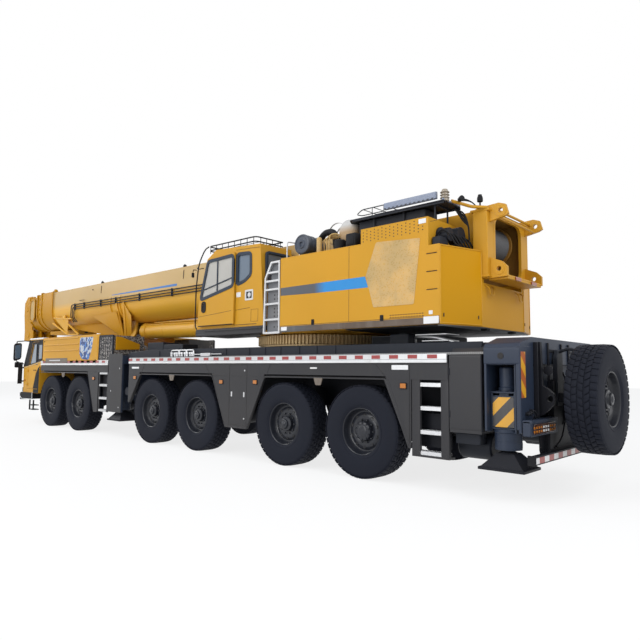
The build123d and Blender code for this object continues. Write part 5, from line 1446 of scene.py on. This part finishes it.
# Painted shade: the belly plate under the collar is in the darker yellow.
piece("boom_belly", plate(rounded([(14.03, 2.8), (14.03, 2.69), (13.2, 2.655), (12.2, 2.64), (11.9, 2.78)],
        0.03), -0.28, 0.28, 0.01), golden, "boom")
turntable_pair("foot_pin_caps", turned([(0.638, 0.01), (0.638, 0.15), (0.65, 0.155), (0.662, 0.15),
        (0.666, 0.09), (0.676, 0.085), (0.676, 0.004)], (-0.3, 0, 3.45), ACROSS, 40), cast_dark)

head_frame, pocket, slots = [], [], []
for side in (1, -1):
    slot_in = corners(14.7, 3.2, 15.02, 3.86, 0.14, 7)
    pocket.append(band(grown(slot_in, 0.06), grown(slot_in, 0.004), side * 0.5535, side * 0.576))
    slots.append(plate(grown(slot_in, -0.006), side * 0.5535, side * 0.56, 0.002))
    head_frame += [turned([(side * 0.408, 0.01), (side * 0.408, r + 0.03), (side * 0.424, r + 0.02),
            (side * 0.424, 0.004)], (x, 0, z), ACROSS, 32)
        for x, z, r in ((15.72, 3.64, 0.07), (15.52, 2.74, 0.07))]
head_frame += [tube([(x, y, z) for y in (-0.4, 0.0, 0.4)], 0.022, 8)
    for x, z in ((15.9, 3.9), (15.93, 3.52), (15.8, 3.02), (15.33, 2.6), (15.5, 2.54))]
head_frame += [hoop(0.48, 3.925, 2.9, 0.02, 15.33, 15.38)]
piece("boom_head_bars", head_frame, golden, "boom_4")
# Painted shade: the pocket rims are in the darker yellow, for the shadow round the oval.
piece("lock_pocket_rims", pocket, golden, "boom_3")
piece("lock_pockets", slots, beige, "boom_3")
sheave = [(-0.055, 0.075), (-0.055, 0.8), (-0.05, 0.97), (-0.03, 1.0), (-0.018, 0.95), (0.0, 0.9),
    (0.018, 0.95), (0.03, 1.0), (0.05, 0.97), (0.055, 0.8), (0.055, 0.075)]
sheaves = []
for x, z, r in ((15.72, 3.64, 0.222), (15.52, 2.74, 0.187)):
    for y in (-0.265, 0.0, 0.265):
        sheaves.append(turned([(a * 1.14, b * r if b > 0.1 else b) for a, b in sheave], (x, y, z), ACROSS,
                44, True))
# Painted shade: the sheaves are in the darker yellow, for the shadowed head.
piece("boom_head_sheaves", sheaves, golden, "boom_4")

# ---- Luffing cylinder --------------------------------------------------
# Welded barrel with a threaded gland, pin boss and hard pipes; the chromed
# rod's eye is pinned between the cheeks under the boom.
coat_nodes(boom_yellow, "luffing_barrel")
coat_nodes(polished, "luffing_rod")
foot = np.array([3.15, 0, 2.53])
eye = np.array([9.0, 0, 2.615])
along = (eye - foot) / np.linalg.norm(eye - foot)
barrel_end = 5.38
gland = [turned([(barrel_end - 0.26, 0.2), (barrel_end - 0.26, 0.222), (barrel_end - 0.05, 0.226),
        (barrel_end - 0.04, 0.214), (barrel_end - 0.02, 0.214), (barrel_end + 0.005, 0.205),
        (barrel_end + 0.005, 0.16), (barrel_end - 0.26, 0.16)], foot, along, 56, True),
    turned([(0.24, 0.15), (0.24, 0.212), (0.3, 0.215), (0.31, 0.206), (0.31, 0.15)], foot, along, 56, True)]
gland += [turned(disc(s, s + 0.03, 0.209, 0.203), foot, along, 56, True) for s in (1.4, 2.9, 4.3)]
for side in (1, -1):
    base = foot + np.array([0, side * 0.16, 0.145])
    gland.append(tube([base + along * s for s in (0.42, 2.6, barrel_end - 0.16)], 0.014, 8))
    gland += [turned(disc(0, 0.05, 0.03, 0.01, 0.004), foot + along * s + np.array([0, side * 0.12, 0.15]),
            (0, side * 0.6, 0.8), 10) for s in (0.4, barrel_end - 0.14)]
cover = [(x, 2.53 + 0.0145 * (x - 3.15) + 0.195) for x in (4.3, 8.0)]
gland.append(plate([cover[0], cover[1], (8.0, 2.822), (4.4, 2.8)], -0.1, 0.1, 0.004))
piece("barrel_gland", gland, boom_yellow, "luff_barrel")
piece("rod_wiper", turned([(barrel_end + 0.004, 0.1505), (barrel_end + 0.004, 0.172),
        (barrel_end + 0.016, 0.168), (barrel_end + 0.016, 0.1505)], foot, along, 48, True), trim,
    "luff_barrel")

# ---- Engine cover and radiators ----------------------------------------
# Side covers of the carrier engine: yellow pressings with three long ribs
# and a mottled camouflage patch, and coolers behind speckled wire mesh.
engine_grey = finish("engine_grey", (0.12, 0.12, 0.125), 0.6, 0.4, 0.5)
coat_nodes(engine_grey, "engine_block")
cover_outline = rounded([(8.17, 1.722), (11.455, 1.722), (11.455, 2.44), (8.23, 2.446)], 0.07, 6)
cover = [plate(cover_outline, 1.494, 1.512, 0.012)]
for z, x0, x1 in ((2.385, 9.25, 11.4), (2.225, 9.24, 11.4), (2.065, 9.24, 11.38)):
    rib = rounded([(1.5, z - 0.03), (1.532, z - 0.004), (1.532, z + 0.004), (1.5, z + 0.03)], 0.012, 4)
    cover.append(plate(rib, x0, x1, 0.012, "x"))
cover.append(plate(rounded([(1.497, 2.3), (1.512, 2.4), (1.455, 2.452), (1.2, 2.458), (0.64, 2.458),
        (0.64, 2.436), (1.4, 2.436)], 0.03), 8.22, 11.46, 0.006, "x"))
carrier_pair("engine_covers", cover, yellow)


def mottled(tree, base):
    """Camouflage: jagged cells of two blues and white, picked by each cell's own value."""
    cells = node(tree, "ShaderNodeTexVoronoi")
    cells.inputs["Scale"].default_value = 19.0
    warp = node(tree, "ShaderNodeTexNoise")
    warp.inputs["Scale"].default_value = 14.0
    tree.links.new(node(tree, "ShaderNodeTexCoord").outputs["Object"], warp.inputs["Vector"])
    moved = blend(tree, 0.12, node(tree, "ShaderNodeTexCoord").outputs["Object"], warp.outputs["Color"])
    tree.links.new(moved, cells.inputs["Vector"])
    split = node(tree, "ShaderNodeSeparateXYZ")
    tree.links.new(cells.outputs["Color"], split.inputs[0])
    pick = split.outputs[0]
    blues = blend(tree, maths(tree, "GREATER_THAN", pick, 0.68), (0.008, 0.035, 0.16), (0.03, 0.16, 0.48))
    return blend(tree, maths(tree, "LESS_THAN", pick, 0.38), blues, (0.46, 0.5, 0.55))


camouflage = pattern(finish("cover_camouflage", (0.1, 0.25, 0.6), 0.4, 0.12, 0.2), mottled)
patch = rounded([(9.165, 2.385), (9.175, 1.96), (9.02, 1.83), (8.66, 1.805), (8.52, 2.05), (8.44, 2.385)],
    0.06, 6)
carrier_pair("cover_patches", plate(patch, 1.508, 1.5145, 0.002), camouflage)
carrier_pair("cover_plates", plate(corners(9.86, 1.745, 11.24, 1.865, 0.012), 1.509, 1.516, 0.002),
    bracket_brown)
carrier_pair("cover_blank_signs", plate(corners(10.3, 1.79, 10.98, 1.818, 0.008), 1.515, 1.5185, 0.001),
    aluminium)
carrier_pair("cover_latches", [turned([(1.508, 0.003), (1.508, 0.022), (1.52, 0.02), (1.52, 0.002)],
        (x, 0, z), ACROSS, 12) for x, z in ((9.3, 1.8), (11.36, 1.8), (11.36, 2.34), (8.3, 1.8))], trim)


def speckled(tree, base):
    """Wire mesh over dark fins: pale crossing wires broken by the noise behind them."""
    grain = noise(tree, 30.0, 2.0, None, 0.6)
    outer = maths(tree, "MAXIMUM", span(tree, axis_value(tree, 1), 0.5, 0.6),
        span(tree, axis_value(tree, 1), -1.3, -1.4))
    return blend(tree, maths(tree, "MULTIPLY", outer, span(tree, grain, 0.5, 0.56)), (0.018, 0.018, 0.022),
        (0.3, 0.28, 0.27))


mesh = pattern(finish("radiator_mesh", (0.04, 0.04, 0.05), 0.6, 0.3, 0.6), speckled)
coat_nodes(mesh, "radiator")
mesh_frame = []
face = rounded([(7.485, 1.745), (8.165, 1.745), (8.15, 2.395), (7.485, 2.395)], 0.03, 5)
mesh_frame.append(band(grown(face, 0.012), grown(face, -0.028), 1.47, 1.502))
mesh_frame += [tube([(7.5 + 0.11 * n, 1.497, 1.76), (7.5 + 0.11 * n, 1.497, 2.07),
        (7.5 + 0.11 * n, 1.497, 2.385)], 0.0045, 6) for n in range(1, 6)]
mesh_frame += [tube([(7.49, 1.497, 1.75 + 0.09 * n), (7.8, 1.497, 1.75 + 0.09 * n),
        (8.16, 1.497, 1.75 + 0.09 * n)], 0.0035, 6) for n in range(1, 7)]
carrier_pair("radiator_frames", mesh_frame, cast_dark)
guard = rounded([(1.43, 2.04), (1.43, 2.365), (1.3, 2.36), (0.8, 2.2), (0.8, 2.07)], 0.02)
# Painted shade: the guard is in the darker yellow, for a yellow guard in shadow.
piece("cooler_guard", plate(guard, 7.448, 7.474, 0.004, "x"), golden, "carrier")
engine_top = [block((8.5, -0.42, 2.06), (10.9, 0.42, 2.12), 0.02),
    turned([(0, 0.01), (0, 0.12), (0.3, 0.12), (0.34, 0.09), (0.34, 0.01)], (9.7, 0.3, 2.17), AHEAD, 28),
    turned([(2.1, 0.01), (2.1, 0.09), (2.42, 0.09), (2.42, 0.075), (2.12, 0.07), (2.12, 0.004)],
        (10.6, -0.45, 0), UP, 28)]
engine_top += [pipe([(8.4, y, 2.12), (8.2, y, 2.2), (7.9, y + 0.05, 2.15), (7.8, y + 0.1, 1.9)], 0.1, 0.035,
        12) for y in (-0.3, 0.0, 0.3)]
piece("engine_top", engine_top, engine_grey, "carrier", angle=45)
piece("deck_bulkhead", [block((11.48, -0.55, 1.6), (11.56, 0.55, 2.1), 0.01),
        block((6.75, -1.4, 1.85), (6.9, -0.7, 2.0), 0.01)], charcoal, "carrier")

# ---- Driver's cab ------------------------------------------------------
# Low cab across the front: yellow doors with dark windows, a white roof
# lip, black mirrors and pillars, a charcoal bumper with lamps and steps.
seat_cloth = finish("seat_fabric", (0.045, 0.045, 0.05), 0.9, 0.2, 1.0, bump=0.004)
coat_nodes(seat_cloth, "front_cab_seats", "operator_seat")
door_hole = [(11.9, 1.68), (12.48, 1.68), (12.235, 2.29), (11.9, 2.29)]


def cab_sheet(points, near=1.4665, far=1.4735):
    """A thin sheet on the cab's side, its outline given ahead of axle 6."""
    return plate(points, near, far, 0.0015)


door_black = [cab_sheet(p) for p in ([(12.545, 1.655), (12.29, 2.345), (12.235, 2.29), (12.48, 1.685)],
        [(12.29, 2.345), (11.836, 2.345), (11.836, 2.29), (12.235, 2.29)],
        [(11.836, 1.76), (11.9, 1.752), (11.9, 2.29), (11.836, 2.29)],
        [(11.836, 1.6), (11.98, 1.44), (12.15, 0.996), (11.836, 0.996)])]
door_black += [cab_sheet([(11.9, 1.752), (12.48, 1.684), (12.475, 1.7), (11.9, 1.77)], 1.44, 1.4735),
    cab_sheet(corners(11.965, 1.7, 12.03, 2.29), 1.44, 1.47),
    pipe([(11.99, 1.468, 1.53), (11.99, 1.492, 1.53), (12.13, 1.492, 1.53), (12.13, 1.468, 1.53)], 0.015,
        0.009)]
door_line = [cab_sheet([(11.836, 1.722), (12.545, 1.622), (12.545, 1.655), (11.836, 1.762)], 1.4665,
        1.4755)]
door_glass = [plate(door_hole, 1.446, 1.452, 0.001)]
for name, flip in (("left", 1), ("right", -1)):
    for part, shells, material in (("trim", door_black, trim), ("line", door_line, beige),
            ("glass", door_glass, glass)):
        points, faces = joined(shells)
        piece(f"cab_door_{part}_{name}", (points * (1, flip, 1), faces), material, f"front_cab_door_{name}")
shell_black = [cab_sheet(p, 1.4685, 1.4745)
    for p in ([(12.56, 1.655), (12.875, 1.625), (12.5, 2.405), (12.3, 2.375)],
        [(12.495, 2.405), (11.575, 2.405), (11.575, 2.358), (12.3, 2.358)],
        [(11.575, 1.8), (11.62, 1.795), (11.62, 2.358), (11.575, 2.358)],
        corners(11.62, 2.26, 11.822, 2.358), [(11.62, 1.79), (11.822, 1.765), (11.822, 1.85),
        (11.62, 1.87)], [(11.755, 0.875), (12.12, 0.875), (12.12, 0.982), (11.822, 0.982), (11.822, 1.6),
        (11.7, 1.66), (11.755, 1.57)])]
shell_line = [cab_sheet(p, 1.4685, 1.4765) for p in ([(12.56, 1.62), (12.885, 1.583), (12.885, 1.618),
        (12.56, 1.655)], [(11.66, 1.748), (11.822, 1.725), (11.822, 1.765), (11.6, 1.8)])]
pillar_glass = [cab_sheet([(11.62, 1.865), (11.822, 1.848), (11.822, 2.262), (11.62, 2.262)], 1.4685,
        1.472)]
carrier_pair("cab_side_trim", shell_black, trim)
carrier_pair("cab_side_line", shell_line, beige)
carrier_pair("cab_pillar_glass", pillar_glass, glass)
piece("cab_roof_lip", plate(rounded([(11.56, 2.425), (12.5, 2.425), (12.56, 2.405), (12.5, 2.462),
        (11.56, 2.468)], 0.01), -1.478, 1.478, 0.006), white_paint, "carrier")
pillars = [tube([(12.885, y, 1.63), (12.7, y, 2.02), (12.515, y, 2.42)], 0.028, 8) for y in (1.455, -1.455)]
pillars += [tube([(12.875, y, 1.655) for y in (-1.4, 0.0, 1.4)], 0.018, 8),
    tube([(12.535, y, 2.345) for y in (-1.4, 0.0, 1.4)], 0.018, 8)]
for side in (1, -1):
    pillars += [pipe([(12.48, side * 1.44, 2.375), (12.75, side * 1.52, 2.4), (13.4, side * 1.52, 2.4),
            (13.41, side * 1.52, 2.3)], 0.05, 0.015),
        pipe([(12.84, side * 1.46, 1.7), (13.1, side * 1.5, 1.74), (13.4, side * 1.52, 1.8),
            (13.41, side * 1.52, 1.9)], 0.05, 0.013),
        plate(rounded([(side * 1.375, 1.93), (side * 1.4, 1.86), (side * 1.57, 1.8), (side * 1.597, 1.86),
            (side * 1.597, 2.29), (side * 1.56, 2.34), (side * 1.41, 2.36), (side * 1.375, 2.32)], 0.03),
            13.38, 13.44, 0.012, "x"), plate(corners(side * 1.42, 1.6, side * 1.56, 1.77, 0.04), 13.36,
            13.41, 0.012, "x"), block((12.99, side * 1.47, 1.12), (13.005, side * 1.595, 1.76), 0.003),
        block((12.86, side * 1.465, 1.18), (13.0, side * 1.5, 1.22), 0.006),
        block((12.86, side * 1.465, 1.58), (13.0, side * 1.5, 1.62), 0.006)]
for y in (-0.55, 0.55):
    pillars += [pipe([(12.9, y, 1.64), (12.9, y + 0.05, 1.7), (12.72, y + 0.42, 2.06)], 0.03, 0.008, 6),
        tube([(12.86, y + 0.15, 1.76), (12.76, y + 0.38, 1.98), (12.66, y + 0.62, 2.18)], 0.006, 6)]
piece("cab_pillars_mirrors", pillars, trim, "carrier")
carrier_pair("mirror_glass", plate(rounded([(1.41, 1.9), (1.565, 1.86), (1.565, 2.28), (1.41, 2.31)], 0.03),
        13.3755, 13.3815, 0.001, "x"), glass)

carrier_pair("front_markers", block((13.004, 1.474, 1.13), (13.009, 1.591, 1.75), 0.001), hazard_side)

front_parts = [plate(rounded([(12.1, 0.7), (12.86, 0.69), (13.015, 0.76), (13.02, 0.855), (12.93, 0.88),
        (12.1, 0.88)], 0.03), side * 1.4705, side * 1.4935, 0.006) for side in (1, -1)]
front_parts += [plate(rounded([(-1.47, 0.88), (1.47, 0.88), (1.47, 1.02), (1.1, 1.06), (-1.1, 1.06),
        (-1.47, 1.02)], 0.02), 12.87, 12.925, 0.008, "x"),
    plate(corners(-1.2, 1.16, 1.2, 1.5, 0.04), 12.88, 12.908, 0.006, "x"),
    plate(corners(-0.3, 0.68, 0.3, 0.82, 0.02), 13.01, 13.022, 0.004, "x")]
front_parts += [tube([(12.915, y, 1.22 + 0.06 * n) for y in (-1.15, 0.0, 1.15)], 0.008, 6)
    for n in range(5)]
for side in (1, -1):
    front_parts += [block((12.06, side * 1.3, 0.505), (12.38, side * 1.475, 0.53), 0.005),
        block((12.06, side * 1.3, 0.38), (12.36, side * 1.47, 0.405), 0.005),
        block((12.06, side * 1.44, 0.38), (12.1, side * 1.475, 0.67), 0.005),
        block((12.32, side * 1.44, 0.38), (12.36, side * 1.475, 0.67), 0.005)]
piece("front_bumper_parts", front_parts, trim, "carrier")
head_lamps = []
for side in (1, -1):
    head_lamps += [turned([(0, 0.004), (0, 0.075), (0.02, 0.08), (0.032, 0.07), (0.04, 0.04),
            (0.042, 0.004)], (12.995, side * y, 0.755), AHEAD, 28) for y in (1.32, 1.12)]
piece("head_lamps", head_lamps, lamp_clear, "carrier")
turn_lamps = [turned([(0, 0.004), (0, 0.045), (0.018, 0.045), (0.026, 0.03), (0.028, 0.004)],
        (13.0, y, 0.755), AHEAD, 24) for y in (0.95, -0.95)]
turn_lamps += [block((12.7, side * 1.464, 1.2), (12.8, side * 1.48, 1.25), 0.004) for side in (1, -1)]
piece("front_turn_lamps", turn_lamps, amber, "carrier")
carrier_pair("bumper_trim", pipe([(x, 1.494, z)
        for x, z in ((12.12, 0.888), (12.11, 0.695), (12.86, 0.684), (13.02, 0.755), (13.025, 0.86))], 0.02,
        0.009), aluminium)


LEVELS, ROUND = 23, 48


def form(value, power):
    """A power that keeps the sign: below 1 it swells a round form towards a box."""
    return np.sign(value) * np.abs(value) ** power


def cushion(low, high, lean=0.0, seams=0):
    """Stuffed pad between two corners: a crowned closed form, its sides drawn in and its
    face sewn into channels, leaning back by so much per metre of height."""
    centre, half = (np.array(low) + high) / 2, (np.array(high) - low) / 2
    up = np.linspace(-1.42, 1.42, LEVELS)
    around = np.linspace(0, 2 * math.pi, ROUND, endpoint=False)
    ring = form(np.cos(up), 0.3)[:, None] * np.ones(ROUND)
    x, y = ring * form(np.cos(around), 0.35), ring * form(np.sin(around), 0.35)
    z = np.repeat(form(np.sin(up), 0.55)[:, None], ROUND, axis=1)
    if seams:
        x = x * (1 - 0.05 * np.abs(np.cos(z * math.pi * seams / 2)) ** 12)
    points = np.stack([x, y, z], -1).reshape(-1, 3) * half + centre
    points[:, 0] -= (points[:, 2] - low[2]) * lean
    return points, faces_of(LEVELS, ROUND, False)


chairs, chair_bases = [], []
for y0, y1 in ((0.62, 1.12), (-1.12, -0.62)):
    chairs += [cushion((11.85, y0, 1.33), (12.3, y1, 1.47)),
        cushion((11.83, y0 + 0.01, 1.43), (11.955, y1 - 0.01, 1.99), 0.05, 6),
        cushion((11.8, y0 + 0.13, 2.0), (11.9, y1 - 0.13, 2.17), 0.05)]
    chair_bases += [block((11.88, y0 + 0.06, 0.962), (12.26, y1 - 0.06, 1.34), 0.02)]
    chair_bases += [tube([(11.85, (y0 + y1) / 2 + k, 1.96), (11.84, (y0 + y1) / 2 + k, 2.03),
            (11.835, (y0 + y1) / 2 + k, 2.06)], 0.007, 6) for k in (-0.06, 0.06)]
seats = piece("driver_seats", chairs, seat_cloth, "carrier", "front_cab_seats", slot="seat_fabric")
piece("driver_seat_bases", chair_bases, trim, "carrier")
chair = piece("operator_chair", [cushion((2.66, 0.82, 2.8), (3.12, 1.28, 2.95)),
        cushion((2.6, 0.83, 2.92), (2.72, 1.27, 3.46), 0.06, 6),
        cushion((2.575, 0.95, 3.45), (2.665, 1.15, 3.6), 0.06)], seat_cloth, "superstructure",
    "operator_seat", slot="seat_fabric")
chair_frame = [block((2.66, 0.86, 2.442), (3.08, 1.24, 2.8), 0.02)]
chair_frame += [block((2.74, y - 0.03, 3.06), (3.08, y + 0.03, 3.1), 0.012)
    for y in (0.8, 1.3)] + [block((2.74, y - 0.015, 2.86), (2.8, y + 0.015, 3.07), 0.006)
    for y in (0.8, 1.3)]
chair_frame += [turned([(0, 0.004), (0, 0.018), (0.1, 0.014), (0.13, 0.022), (0.16, 0.022), (0.175, 0.004)],
        (3.02, y, 3.1), (0.15, 0, 1), 16) for y in (0.8, 1.3)]
piece("operator_chair_frame", chair_frame, trim, "superstructure")
wheel_centre = np.array([12.5, 0.87, 1.66])
piece("steering_wheel", [turned([(-0.014, 0.215), (0.0, 0.229), (0.014, 0.215), (0.0, 0.201)], wheel_centre,
        (-0.55, 0, 0.83), 40, True), tube([wheel_centre, wheel_centre + (0.1, 0, -0.12),
        wheel_centre + (0.24, 0, -0.3)], 0.022, 10),
        tube([wheel_centre + (0, -0.21, 0), wheel_centre, wheel_centre + (0, 0.21, 0)], 0.012, 8)], trim,
    "carrier")
